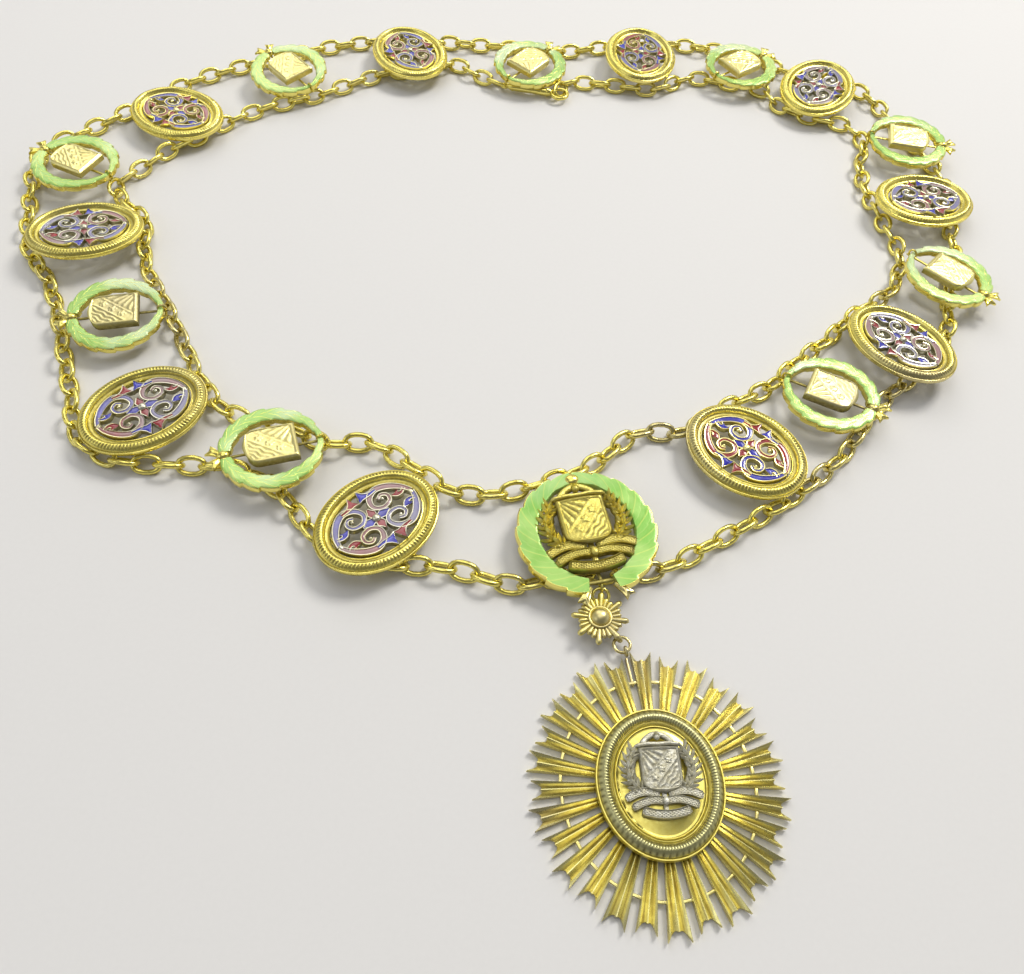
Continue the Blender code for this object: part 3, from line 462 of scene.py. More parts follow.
class Graph:
    """Short calls for adding nodes to a tree and joining them."""

    def __init__(self, tree):
        self.tree = tree

    def add(self, kind, inputs=(), output=0, **settings):
        """Output of a new node of a kind, with settings and with inputs by name or number."""
        node = self.tree.nodes.new(kind)
        for name, value in settings.items():
            setattr(node, name, value)
        for name, value in dict(inputs).items():
            self.feed(node.inputs[name], value)
        return Signal(self, node.outputs[output])

    def feed(self, socket, value):
        """Joins an input to a signal, or gives it a constant."""
        if isinstance(value, Signal):
            self.tree.links.new(value.socket, socket)
        elif socket.type == "RGBA":
            socket.default_value = (*value, 1.0)
        else:
            socket.default_value = value

    def math(self, operation, a, b=0.0, clamp=False):
        """Result of one Math node."""
        return self.add("ShaderNodeMath", {0: a, 1: b}, operation=operation, use_clamp=clamp)

    def most(self, a, b, clamp=False):
        """The larger of two values."""
        return self.math("MAXIMUM", a, b, clamp)

    def step(self, value, low, high, out_low=0.0, out_high=1.0):
        """Smooth step of a value between two limits."""
        inputs = {"Value": value, "From Min": low, "From Max": high, "To Min": out_low, "To Max": out_high}
        return self.add("ShaderNodeMapRange", inputs, interpolation_type="SMOOTHSTEP")

    def mix(self, factor, a, b):
        """Blend of two colours."""
        return self.add("ShaderNodeMix", {"Factor": factor, "A": a, "B": b}, "Result", data_type="RGBA")

    def noise(self, vector, scale, detail=3.0, roughness=0.5):
        """Noise value."""
        inputs = {"Vector": vector, "Scale": scale, "Detail": detail, "Roughness": roughness}
        return self.add("ShaderNodeTexNoise", inputs)

    def scaled(self, vector, scale, rotation=(0.0, 0.0, 0.0)):
        """Vector stretched and turned."""
        return self.add("ShaderNodeMapping", {"Vector": vector, "Rotation": rotation, "Scale": scale})

    def attribute(self, name):
        """Number that the mesh holds at each point."""
        return self.add("ShaderNodeAttribute", output="Fac", attribute_name=name)

    def place(self):
        """Position on the object."""
        return self.add("ShaderNodeTexCoord", output="Object")

    def chart(self):
        """Position on the mesh's chart."""
        return self.add("ShaderNodeUVMap", uv_map="chart")

    def axes(self, vector):
        """Parts of a vector, by number."""
        return self.add("ShaderNodeSeparateXYZ", {0: vector})

    def patina(self, hollow, spread, blotch=90.0):
        """Mask of the tarnish group, with its Grain beside it."""
        inputs = {"Hollow": hollow, "Spread": spread, "Blotch Scale": blotch}
        return self.add("ShaderNodeGroup", inputs, "Mask", node_tree=patina_group())

    def bump(self, height, strength, distance):
        """Normal of a relief."""
        inputs = {"Height": height, "Strength": strength, "Distance": distance}
        return self.add("ShaderNodeBump", inputs, "Normal")


def shared_group(name, inputs, outputs, build):
    """Shader node group, built once: inputs are numbers by name with their defaults."""
    group = bpy.data.node_groups.get(name)
    if group:
        return group
    group = bpy.data.node_groups.new(name, "ShaderNodeTree")
    for label, default in inputs.items():
        socket = group.interface.new_socket(name=label, in_out="INPUT", socket_type="NodeSocketFloat")
        socket.default_value = default
    for label in outputs:
        group.interface.new_socket(name=label, in_out="OUTPUT", socket_type="NodeSocketFloat")
    graph = Graph(group)
    source = graph.add("NodeGroupInput")
    target = group.nodes.new("NodeGroupOutput")
    for label, value in build(graph, source).items():
        graph.feed(target.inputs[label], value)
    return group


def patina_group():
    """Mask of tarnish: hollows first, then blotches, broken up by fine grain."""
    def build(graph, source):
        place, scale = graph.place(), source["Blotch Scale"]
        blotch = graph.noise(place, scale, 4.0, 0.6)
        grain = graph.noise(place, scale * 9.0, 3.0, 0.65)
        hollow = graph.math("POWER", source["Hollow"], 1.8) * graph.step(grain, 0.2, 0.7, 0.65, 1.0)
        spread = graph.step(blotch + grain * 0.35, 0.62, 0.95) * source["Spread"]
        return {"Mask": graph.most(hollow, spread, True), "Grain": grain}

    return shared_group("Patina", {"Hollow": 0.0, "Spread": 0.5, "Blotch Scale": 90.0}, ("Mask", "Grain"),
                        build)


def wear_group():
    """Height of fine scratches and dings for a bump."""
    def build(graph, source):
        place, scale = graph.place(), source["Scale"]
        stretched = graph.scaled(place, (1.0, 9.0, 3.0), (0.3, 0.2, 0.7))
        scratches = graph.step(graph.noise(stretched, scale, 3.0, 0.6), 0.35, 0.75)
        return {"Height": scratches * 0.6 + graph.noise(place, scale * 0.8, 2.0) * 0.8}

    return shared_group("Hand Wear", {"Scale": 500.0}, ("Height",), build)


def shaded(name, build):
    """Node material, made once: build gives what goes into each socket of its Principled shader."""
    material = bpy.data.materials.get(name)
    if material:
        return material
    material = bpy.data.materials.new(name)
    material.use_nodes = True
    graph = Graph(material.node_tree)
    shader = material.node_tree.nodes["Principled BSDF"]
    for label, value in build(graph).items():
        graph.feed(shader.inputs[label], value)
    return material


AGE = 0.50
# Painted light: the film is full at the first y and below, and thins to its least share at the second,
# towards the far side and the clasp, so the far part of the collar is painted brighter, as if lit from
# behind
NEAR_SHADE_Y, FAR_LIGHT_Y, FAR_LIGHT_FILM_SHARE = -0.02, 0.12, 0.35


def metal(name, bright, dark, hollow=1.0, spread=0.4, blotch=90.0, roughness=0.24, wear=0.12,
          granular=False, veil=None, streaks=0.0):
    """Gilt metal: bright colour, with a rougher, duller film in the hollows and in blotches.

    All film thins along y towards the far side: painted light that makes the far part of the collar
    brighter, as if lit from behind. A veil is a colour that lies over the gold by the share that the mesh's
    veil field gives.
    Streaks run along the first axis of the chart.
    """
    def build(graph):
        place = graph.place()
        # Painted light: tarnish, blotches and the age film are full on the near side and thin towards the
        # far side
        film = graph.step(graph.axes(place)[1], NEAR_SHADE_Y, FAR_LIGHT_Y, 1.0, FAR_LIGHT_FILM_SHARE)
        mask = graph.patina(graph.attribute("groove") * (film * hollow), film * spread, blotch)
        grain = mask["Grain"]
        warm = [channel * shade for channel, shade in zip(bright, (0.95, 0.92, 0.80))]
        base = graph.mix(graph.step(grain, 0.35, 0.65), bright, warm)
        age = graph.step(graph.noise(place, 22.0, 2.0), 0.50, 0.70) * (film * AGE)
        base = graph.mix(age, base, colours().age)
        if streaks:
            long = graph.scaled(graph.chart(), (1.6, 30.0, 1.0))
            long = graph.add("ShaderNodeVectorMath", {0: long, 1: graph.scaled(place, (90.0, 90.0, 90.0))})
            lines = graph.step(graph.noise(long, 1.0, 3.0, 0.6), 0.50, 0.72)
            base = graph.mix(lines * streaks, base, dark)
        if veil:
            base = graph.mix(graph.attribute("veil"), base, veil)
        if granular:
            height = graph.noise(place, 1700.0, 3.0, 0.6) * 2.6
        else:
            height = graph.add("ShaderNodeGroup", output="Height", node_tree=wear_group())
        return {"Base Color": graph.mix(mask, base, dark),
                "Metallic": graph.step(mask, 0.2, 1.0, 1.0, 0.75),
                "Roughness": graph.step(grain, 0.3, 0.7, roughness * 0.9, roughness * 1.12) + mask * 0.30,
                "Normal": graph.bump(height, wear, 0.0002)}

    return shaded(name, build)


def leaf_enamel():
    """Clear green enamel over engraved gold, with gold at the leaves' edges.

    The chart holds the leaf count along a branch and the share across it, from -1 inside to 1 outside. A
    leaf's own share is the fraction of count + lean (1 - |across|), with half a leaf more on the inner row.
    The mesh's quiet field fades the leaves' drawing, and its far field brings the whitish sheen, a painted
    reflection that lies mostly on the far side.
    """
    def build(graph):
        tone = colours()
        axes = graph.axes(graph.chart())
        across = graph.math("ABSOLUTE", axes[1])
        inner = graph.math("LESS_THAN", axes[1], 0.0) * 0.5
        leaf = graph.math("FRACT", axes[0] + (1.0 - across) * LEAF_LEAN + inner)
        loud = 1.0 - graph.attribute("quiet")
        far_edge = graph.step(leaf, 0.88, 0.92) * graph.step(loud, 0.0, 1.0, 0.25, 0.75)
        stem = graph.step(across, 0.01, 0.04, 1.0, 0.0) * 0.35
        gold_mask = graph.most(graph.most(far_edge, graph.step(across, 0.905, 0.935)), stem)
        rib = graph.step(graph.math("ABSOLUTE", leaf - 0.45), 0.0, 0.07, 1.0, 0.0)
        rib = rib * graph.step(loud, 0.0, 1.0, 0.25, 1.0)
        veins = graph.math("SINE", (leaf * 2.2 + across * -5.0) * 6.283)
        veins = graph.step(veins, 0.3, 1.0) * loud
        place = graph.place()
        pale = graph.step(graph.noise(place, 55.0, 3.0, 0.55), 0.38, 0.62)
        pale = pale * graph.step(loud, 0.0, 1.0, 0.5, 1.0)
        enamel = graph.mix(graph.most(pale, loud * 0.35), tone.green, tone.mint)
        # Painted reflection: whitish sheen in patches, pushed towards each wreath's far side as if it
        # reflected the light behind
        painted_reflection = graph.attribute("far") * 0.14 + graph.noise(place, 38.0, 2.0)
        painted_reflection = graph.step(painted_reflection, 0.50, 0.66) * graph.step(loud, 0.0, 1.0, 0.1, 0.75)
        enamel = graph.mix(painted_reflection, enamel, tone.sheen)
        enamel = graph.mix(veins * 0.30, enamel, tone.mint)
        enamel = graph.mix(rib * 0.40, enamel, tone.pale_gold)
        tarnish = graph.patina(graph.attribute("groove"), 0.15)
        enamel = graph.mix(tarnish * 0.5, enamel, tone.tarnish)
        gilt = graph.mix(tarnish * 0.8, tone.gold, tone.tarnish)
        mask = graph.most(gold_mask, graph.attribute("side"))
        relief = veins * -0.25 + rib * -0.6 + gold_mask * 0.6
        return {"Base Color": graph.mix(mask, enamel, gilt),
                "Metallic": graph.step(mask, 0.0, 1.0, 0.15, 1.0),
                "Roughness": graph.step(mask, 0.0, 1.0, 0.32, 0.26),
                "Coat Weight": graph.step(mask, 0.0, 1.0, 0.55, 0.0),
                "Coat Roughness": 0.12,
                "Normal": graph.bump(relief, 0.5, 0.0001)}

    return shaded("leaf_enamel", build)


def scroll_enamel():
    """Red or blue enamel between gold edges.

    The mesh's fields say where the enamel is, which colour it has, where it is thin and how worn it is.
    """
    def build(graph):
        tone = colours()
        place = graph.place()
        cloud = graph.noise(place, 260.0, 3.0, 0.6)
        glaze = graph.mix(graph.attribute("tint"), tone.red, tone.blue)
        lit = graph.mix(graph.attribute("tint"), [min(1, c * 1.6) for c in tone.red], (0.12, 0.13, 0.75))
        glaze = graph.mix(graph.step(cloud, 0.45, 0.75), glaze, lit)
        worn = graph.attribute("worn") * graph.step(graph.noise(place, 40.0, 2.0), 0.35, 0.60, 0.55, 1.0)
        glaze = graph.mix(graph.attribute("thin") * worn, glaze, tone.thin_enamel)
        gilt = graph.mix(graph.step(worn, 0.1, 0.7, 0.0, 0.85), tone.pale_gold, tone.grey_relief)
        gilt = graph.mix(graph.patina(graph.attribute("groove"), 0.35), gilt, tone.tarnish)
        mask = graph.step(graph.attribute("enamel"), 0.4, 0.6)
        return {"Base Color": graph.mix(mask, gilt, glaze),
                "Metallic": 1.0 - mask,
                "Roughness": graph.step(mask, 0.0, 1.0, 0.28, 0.20),
                "Coat Weight": mask * 0.6,
                "Coat Roughness": 0.05,
                "Normal": graph.bump(cloud, 0.15, 0.0002)}

    return shaded("scroll_enamel", build)


def plain_gold():
    """Gilding of links, rings, knots and the clasp."""
    return metal("plain_gold", colours().gold, colours().tarnish, 0.9, 0.25, roughness=0.23, wear=0.06)


# Chains

LINK_STEPS, WIRE_SIDES = 16, 6


def link_patch():
    """One link: round wire along a squared oval, x = L sgn(cos) |cos|^0.9, y = W sgn(sin) |sin|^0.9."""
    size = sizes()
    around = (np.arange(LINK_STEPS) + 0.5) * 2 * np.pi / LINK_STEPS
    section = circle(WIRE_SIDES)
    half = (np.array([size.link_length, size.link_width]) - size.link_wire) / 2
    line = half * squared(grid(np.cos(around), np.sin(around)), 0.9)
    ahead = np.roll(line, -1, axis=0) - np.roll(line, 1, axis=0)
    ahead /= np.linalg.norm(ahead, axis=1)[:, None]
    out = grid(ahead[:, 1], -ahead[:, 0])[:, None]
    radius = size.link_wire / 2
    flat = line[:, None] + radius * np.cos(section)[:, None] * out
    inside = np.clip(-np.cos(section), 0, 1)
    hollow = np.clip(np.abs(np.cos(around)) - 0.55, 0, 1)[:, None] * inside * 1.6
    return patch(raised(flat, radius * np.sin(section)), "loop", groove=hollow)


def chain_shape(route, closed, seed):
    """Interlocked links along a route, rolled to either side in turn and resting on the ground."""
    size = sizes()
    looped = np.vstack([route, route[:1]]) if closed else route
    length = measured(looped)[-1]
    pitch = size.link_length - 2 * size.link_wire
    count = int(math.ceil(length / pitch / 2)) * 2
    middles = (np.arange(count) + 0.5) * length / count

    def beyond(offset):
        stops = middles + offset
        return at_distance(looped, stops % length if closed else np.clip(stops, 0, length))

    reach = length / count * 0.55
    across, along = (beyond(reach) - beyond(-reach)).T[::-1]
    wobble = np.random.default_rng(seed)
    heading = np.arctan2(across, along) + wobble.normal(0, 0.035, count)
    roll = np.where(np.arange(count) % 2 == 0, 1, -1) * size.link_roll + wobble.normal(0, 0.07, count)
    about_x = turns_about_z(roll)[:, (2, 0, 1)][:, :, (2, 0, 1)]
    height = (size.link_width - size.link_wire) / 2 * np.abs(np.sin(roll)) + size.link_wire / 2
    spots = np.column_stack([at_distance(looped, middles), height])
    return repeated(link_patch(), turns_about_z(heading) @ about_x, spots)


class COLLAR_OT_chains(bpy.types.Operator):
    """Lay the links of both chains along their routes."""
    bl_idname = "collar.chains"
    bl_label = "Chains"

    def execute(self, context):
        for name, route, closed, seed in (("outer", OUTER_ROUTE, True, 3), ("inner", INNER_ROUTE, False, 5)):
            links = chain_shape(smooth_route(on_plan(route), closed), closed, seed)
            make_piece(f"{name}_links", [links], plain_gold(), "gold", [f"chain_{name}"], 80)
        return {"FINISHED"}


# Oval plaques

RIM_CUT = 0.00022


def rim_patch():
    """Rim of an oval: outer lip, convex band with strokes cut in it, sloping flange, inner lip, flat back.

    Strokes differ in depth round the rim: their share is 0.7 + 0.3 sin(5 a) sin(11 a + 1).
    """
    size = sizes()
    # share of the band from its outer edge, share of the rise, share of the stroke's cut, share of tarnish,
    # which on the inner slope and the flange is painted shade
    section = np.array([
        (0.03, 0.00, 0, 0.3), (0.00, 0.08, 0, 0.2), (0.00, 0.42, 0, 0.1), (0.02, 0.50, 0, 0),
        (0.06, 0.52, 0, 0), (0.09, 0.46, 0, 0.9), (0.12, 0.58, 0, 0.5), (0.17, 0.73, 0.2, 0.1),
        (0.22, 0.84, 1.1, 0.2), (0.29, 0.93, 1.7, 0.3), (0.36, 0.98, 1.8, 0.3), (0.43, 1.00, 1.5, 0.2),
        # From here to the inner lip, the heavy tarnish on the inner slope and the flange is painted shade,
        # where the rim faces inwards and down
        (0.49, 0.99, 0.5, 0), (0.55, 0.94, 0, 0), (0.61, 0.83, 0, 0.1), (0.66, 0.68, 0, 0.4),
        (0.69, 0.54, 0, 0.9), (0.72, 0.49, 0, 0.85), (0.80, 0.46, 0, 0.65), (0.88, 0.44, 0, 0.85),
        (0.91, 0.47, 0, 0.4), (0.93, 0.52, 0, 0), (0.97, 0.54, 0, 0), (1.00, 0.46, 0, 0),
        (1.00, 0.08, 0, 0.6), (0.97, 0.00, 0, 0.3)])
    share, _, engraved, dull = section.T
    steps = size.oval_ticks * 4
    count = np.arange(steps)[:, None]
    turn = count / steps * 2 * np.pi
    depth = 0.7 + 0.3 * np.sin(5 * turn) * np.sin(11 * turn + 1)
    cut = (0.5 - 0.5 * np.cos(2 * np.pi * (count / 4 + share * 0.9))) ** 2 * engraved * depth
    return turned_patch(section[:, :2] * (size.oval_band, size.oval_rise), size.oval_length / 2,
                        size.oval_width / 2, steps, -RIM_CUT * cut, groove=np.clip(dull + cut, 0, 1))


def stroke_patch(route, widths, base, rise, rows, tint, thin, fork=0.0):
    """Enamelled stroke: a closed section carried along a route.

    Across the stroke the section rises to a gold edge, drops to the enamel, and mirrors. Widths are
    full widths at even stops. fork draws the middle of the last rows back, for a fishtail.
    """
    line, ahead, left = tracked(smooth_route(route), rows)
    share = np.linspace(0, 1, rows)[:, None]
    half = np.interp(share, np.linspace(0, 1, len(widths)), widths) / 2
    wire = np.minimum(sizes().cloison, half * 0.7)
    # offset across in half widths and in wires, height share, enamel share, tarnish share
    edge = [(1, 0, 0.0, 0, 0.8), (1, 0, 0.80, 0, 0.3), (1, -0.3, 1.0, 0, 0), (1, -0.8, 0.98, 0, 0),
            (1, -1.0, 0.84, 1, 0), (0.5, -0.5, 0.88, 1, 0)]
    mirrored = [(-wide, -wires, *rest) for wide, wires, *rest in reversed(edge)]
    wide, wires, heights, enamel, hollow = np.array([*edge, (0, 0, 0.90, 1, 0), *mirrored], dtype=float).T
    offset = half * wide + wire * wires
    back = fork * ramp(share, 0.8, 1) * (1 - np.abs(offset) / half)
    flat = line + left * offset[:, :, None] - ahead * back[:, :, None]
    has_room = half - wire > wire * 0.3
    return patch(raised(flat, base + rise * heights), enamel=enamel * has_room, tint=tint, thin=thin,
                 groove=hollow)


# Strokes of one quarter, in shares of the opening's half length and half width
VOLUTE = [(0.955, 0.006), (0.86, 0.30), (0.66, 0.60), (0.42, 0.74), (0.20, 0.60), (0.13, 0.32), (0.27, 0.13),
          (0.47, 0.17), (0.53, 0.37), (0.43, 0.50), (0.33, 0.43)]
FISHTAIL = [(0.44, 0.73), (0.26, 0.74), (0.05, 0.86)]
SPRIG = [(0.88, 0.22), (0.78, 0.16), (0.69, 0.20), (0.67, 0.31)]
# Route, shares of the widest stroke, lift, rows, whether it has the other colour, thinness, fork
STROKES = (
    (VOLUTE, (0.60, 0.74, 0.88, 0.92, 0.88, 0.78, 0.66, 0.60, 0.56, 0.52, 0.46), 0.0, 56, 0, 0.95, 0.0),
    (FISHTAIL, (0.50, 0.52, 0.65, 1.00, 1.75), 0.00012, 16, 1, 0.1, 0.0011),
    (SPRIG, (0.50, 0.52, 0.62, 0.90, 1.45), -0.0001, 16, 0, 0.1, 0.0008),
)
SCROLL_LOW, SCROLL_RISE = 0.0006, 0.0019


def scroll_shapes():
    """Four mirrored volutes with fishtails, sprigs and a four-petalled boss; colours change by quarter."""
    size = sizes()
    opening = np.array([size.oval_length, size.oval_width]) / 2 - size.oval_band - GAP
    wide, base, rise = size.stroke_width, SCROLL_LOW, SCROLL_RISE
    shapes = []
    for mirror in ((1, 1), (1, -1), (-1, 1), (-1, -1)):
        quarter = opening * mirror
        tint = 0.0 if mirror[0] == mirror[1] else 1.0
        for route, widths, lift, rows, other, thin, fork in STROKES:
            shapes.append(stroke_patch(np.array(route) * quarter, wide * np.array(widths), base + lift, rise,
                                       rows, abs(tint - other), thin, fork))
        eye = quarter * (0.40, 0.37)
        shapes.append(lump_patch((0.0013, 0.0013, 0.0012), (*eye, base + rise * 0.75)))
    for step in range(4):
        reach, tint = ((0.34, 1.0), (0.40, 0.0))[step % 2]
        angle = step * math.pi / 2
        petal = np.outer((0.03, 0.5, 1), (math.cos(angle), math.sin(angle)) * opening * reach)
        shapes.append(stroke_patch(petal, wide * np.array([0.6, 1.2, 0.25]), base - 0.0002, rise * 1.05,
                                   14, tint, 0.3))
    shapes.append(lump_patch((0.0028, 0.0028, 0.0020), (0, 0, base + rise * 0.9)))
    for end in (1, -1):
        shapes.append(lump_patch((0.0019, 0.0026, 0.0018), (opening[0] * 0.93 * end, 0, base + 0.001)))
    return shapes


# How worn each oval's enamel and its gold edges are, in the order of the ovals
ENAMEL_WEAR = (0.80, 0.75, 0.90, 0.30, 0.45, 0.50, 0.85, 0.90, 1.00, 0.12)


class COLLAR_OT_ovals(bpy.types.Operator):
    """Model the oval plaques: an engraved rim and an enamelled scroll in each."""
    bl_idname = "collar.ovals"
    bl_label = "Oval plaques"

    def execute(self, context):
        rim_gold = metal("rim_gold", colours().gold, colours().tarnish, 0.95, 0.35, roughness=0.25)
        rim, scroll = rim_patch(), scroll_shapes()
        underside = rim["verts"][rim["verts"][:, 2] < 1e-6]
        for (place, number), worn in zip(numbered("oval"), ENAMEL_WEAR):
            laid = dict(zip(("turn", "spot"), seat(place, f"oval_rim_{number}", underside)))
            make_piece(f"engraved_rim_{number}", [rim], rim_gold, "gold", [f"oval_rim_{number}"], **laid)
            make_piece(f"enamel_scroll_{number}", [tagged(shape, worn=worn) for shape in scroll],
                       scroll_enamel(), "enamel_scroll", [f"oval_scroll_{number}"], **laid)
        return {"FINISHED"}


# Wreaths

LEAF_LEAN = 1.3
TIP_GAP = 0.005
# Leaves of a branch, and the angle from the knot to its root, of small wreaths and of the large one
WREATH_LEAVES, WREATH_OPENING = 8, 0.10
BIG_LEAVES, BIG_OPENING = 9, math.radians(13)
BIG_RISE = 0.0029
# Height of a shield's underside over its wreath's, and depth of its relief
SHIELD_LOW, SHIELD_RELIEF = 0.0014, 0.00040


def branch_patch(side, leaves, radius, band, rise, opening, double=True, tip_share=0.45, relief=1.0):
    """One enamelled branch, from the knot (t = 0) to the tip (t = 1), inner edge v = -1 to outer v = 1.

    Its angle is opening + (pi - opening - tip gap) t. In a double row a leaf's share is
    frac(t leaves + lean (1 - |v|)), half a leaf on in the inner row; in a single row it is
    frac(t leaves + lean (1 - w)), w = (1 + v) / 2. The share lifts a leaf's far end over the next leaf's
    root, and the edges step back by a notch where a leaf ends.
    """
    t = np.linspace(0, 1, leaves * 14 + 1)[:, None]
    v = np.linspace(-1, 1, 17)
    angle = side * (opening + (math.pi - opening - TIP_GAP) * t)
    swell = 0.78 + 0.22 * np.sin(np.pi * np.clip(t * 1.15, 0, 1)) ** 0.7
    width = band * swell * (1 - (1 - tip_share) * ramp(t, 0.6, 1) ** 1.6)

    def step_back(phase):
        return 1 - np.sin(np.pi / 2 * np.clip(phase % 1 / 0.8, 0, 1))

    notch = band * 0.115
    outer = radius - notch * step_back(t * leaves)
    inner = radius - width + notch * (0.6 if double else 0.2) * step_back(t * leaves + 0.5)
    reach = inner + (outer - inner) * (v + 1) / 2
    across = v if double else (v + 1) / 2
    leaf = (t * leaves + LEAF_LEAN * (1 - np.abs(across)) + np.where(across < 0, 0.5, 0.0)) % 1
    rib = np.exp(-((leaf - 0.45) / 0.10) ** 2)
    shoulder = 0.28 * (1 - v ** (4 if double else 14)) ** 0.5
    z = rise * (0.62 + shoulder + relief * (0.10 * leaf * (1 - v ** 8) - 0.03 * rib))
    hollow = np.clip(1 - leaf / 0.10, 0, 1) * (1 - v ** 8) * relief
    top = grid(reach * np.cos(angle), reach * np.sin(angle), z)
    points = np.concatenate([footed(top[:, :1]), top, footed(top[:, -1:])], axis=1)
    pad = [(0, 0), (1, 1)]
    under = across[0] - 0.2
    return patch(points, uv=(t[:, 0] * leaves, np.array([under, *across, 1.2, under])),
                 quiet=0.0 if double else 1 - relief, groove=np.pad(hollow, pad, constant_values=0.6),
                 side=np.pad(np.zeros_like(hollow), pad, constant_values=1.0))


def forked_tail(root, heading, length, width, thickness, height):
    """Flat ribbon end: it widens from its root, curls up a little and ends in a fork."""
    t = np.linspace(0, 1, 12)[:, None]
    v = np.linspace(-1, 1, 9)
    half = width / 2 * (0.45 + 0.55 * t ** 1.5)
    along = length * t - length * 0.24 * ramp(t, 0.6, 1) * (1 - np.abs(v))
    lift = height + thickness * 0.9 * np.sin(t * 2.4) + thickness * 0.25 * np.cos(v * math.pi)
    top, under = (grid(along, half * v, lift + thickness * side / 2) for side in (1, -1))
    strip = patch(np.concatenate([top, under[:, ::-1]], axis=1), groove=0.15)
    return placed(strip, turn_z(heading), (*root, 0))


def bar_patch(start, end, width, low, high, dull=0.3):
    """Straight rounded bar between two ground points."""
    start, end = np.array(start, dtype=float), np.array(end, dtype=float)
    ahead = (end - start) / np.linalg.norm(end - start)
    left = np.array([-ahead[1], ahead[0]])
    around = circle(12)
    swell = np.array([0.6, 0.95, 1, 1, 0.95, 0.6])[:, None]
    stops = np.array([0, 0.02, 0.06, 0.94, 0.98, 1])[:, None, None]
    across = swell * width / 2 * squared(np.cos(around), 0.6)
    upward = swell * (high - low) / 2 * squared(np.sin(around), 0.6)
    flat = start + (end - start) * stops + left * across[:, :, None]
    return patch(raised(flat, (low + high) / 2 + upward), groove=dull)


def knot_shapes():
    """Gold on a small wreath: knot with two forked tails, lug at the other side, and bearer bar."""
    size = sizes()
    radius, rise = size.wreath_diameter / 2, size.wreath_rise
    middle = radius - size.wreath_band * 0.42
    shapes = [lump_patch((0.0044, 0.0034, 0.0030), (middle + 0.0004, 0, rise * 0.66)),
              lump_patch((0.0024, 0.0054, 0.0022), (middle + 0.0004, 0, rise * 0.60))]
    for turn, length in ((0.66, 0.0050), (-0.60, 0.0047)):
        root = (middle + 0.0010, 0.0006 * math.copysign(1, turn))
        shapes.append(forked_tail(root, turn, length, 0.0038, 0.0009, rise * 0.45))
    shapes.append(bar_patch((-radius - 0.0014, 0), (middle, 0), 0.0009, 0.0001, 0.0008, 1.0))
    shapes.append(torus_patch(0.0014, 0.0008, 24, 8, UPRIGHT, (-radius + 0.0006, 0, 0.0018)))
    return shapes


def shield_relief(x, y):
    """Generic charges on a shield, from 0 to 1 over x, head to foot, and y across, both from -1 to 1.

    A border; a bend with three rosettes, at shares s across it and r along it; rays above, waves below.
    """
    out = np.maximum(np.abs(x), np.abs(y))
    s, r = (x + y) / math.sqrt(2), (x - y) / math.sqrt(2)
    border = np.exp(-((out - 0.88) / 0.05) ** 2)
    bend = np.where(np.abs(s) < 0.21, 0.25, 0.0) + 0.75 * np.exp(-((np.abs(s) - 0.25) / 0.040) ** 2)
    nearest = r - np.clip(np.round(r / 0.52), -1, 1) * 0.52
    reach = np.hypot(s, nearest)
    petals = 0.165 + 0.035 * np.cos(5 * np.arctan2(s, nearest))
    eye = 0.55 + 0.45 * np.clip(np.abs(reach - 0.08) / 0.03, 0, 1)
    rosette = np.clip((petals - reach) / 0.05, 0, 1) * eye
    fan = np.arctan2(y + 1.1, x + 1.1)
    rays = (0.5 + 0.5 * np.cos(fan * 26)) * np.clip((-0.32 - s) / 0.06, 0, 1) * 0.7
    waves = (0.5 + 0.5 * np.cos((s + 0.04 * np.sin(r * 11)) * 30)) * np.clip((s - 0.32) / 0.06, 0, 1) * 0.6
    charges = np.maximum.reduce([bend, rosette, rays, waves]) * np.clip((0.84 - out) / 0.04, 0, 1)
    return np.clip(np.maximum(border, charges), 0, 1)


def shield_patch(height, width, thickness, low, relief_depth, curve=0.0):
    """Shield: head at -x, foot at +x; its half width w(x) narrows to the foot, and its face carries relief.

    The face is at low + thickness - relief_depth (1 - relief) and droops by curve y^2 to its sides.
    """
    x = np.linspace(-1, 1, 56)[:, None]
    y = np.linspace(-1, 1, 45)
    foot = ramp(x, 0.35, 1)
    half = width / 2 * (1 - 0.40 * foot ** 3.5)
    rounding = 0.00035 * np.maximum(ramp(np.abs(x), 0.955, 1), ramp(np.abs(y), 0.94, 1)) ** 2
    relief = shield_relief(x, y)
    z = low + thickness - relief_depth * (1 - relief) - rounding - curve * y ** 2
    top = grid(x * height / 2 - height * 0.07 * foot * np.abs(y) ** 2, half * y, z)
    points = np.concatenate([footed(top[:, :1], low), top, footed(top[:, -1:], low)], axis=1)
    dull = (1 - relief) ** 2 * (0.95 if curve else 0.70)
    return patch(points, groove=np.pad(dull, [(0, 0), (1, 1)], constant_values=0.95))


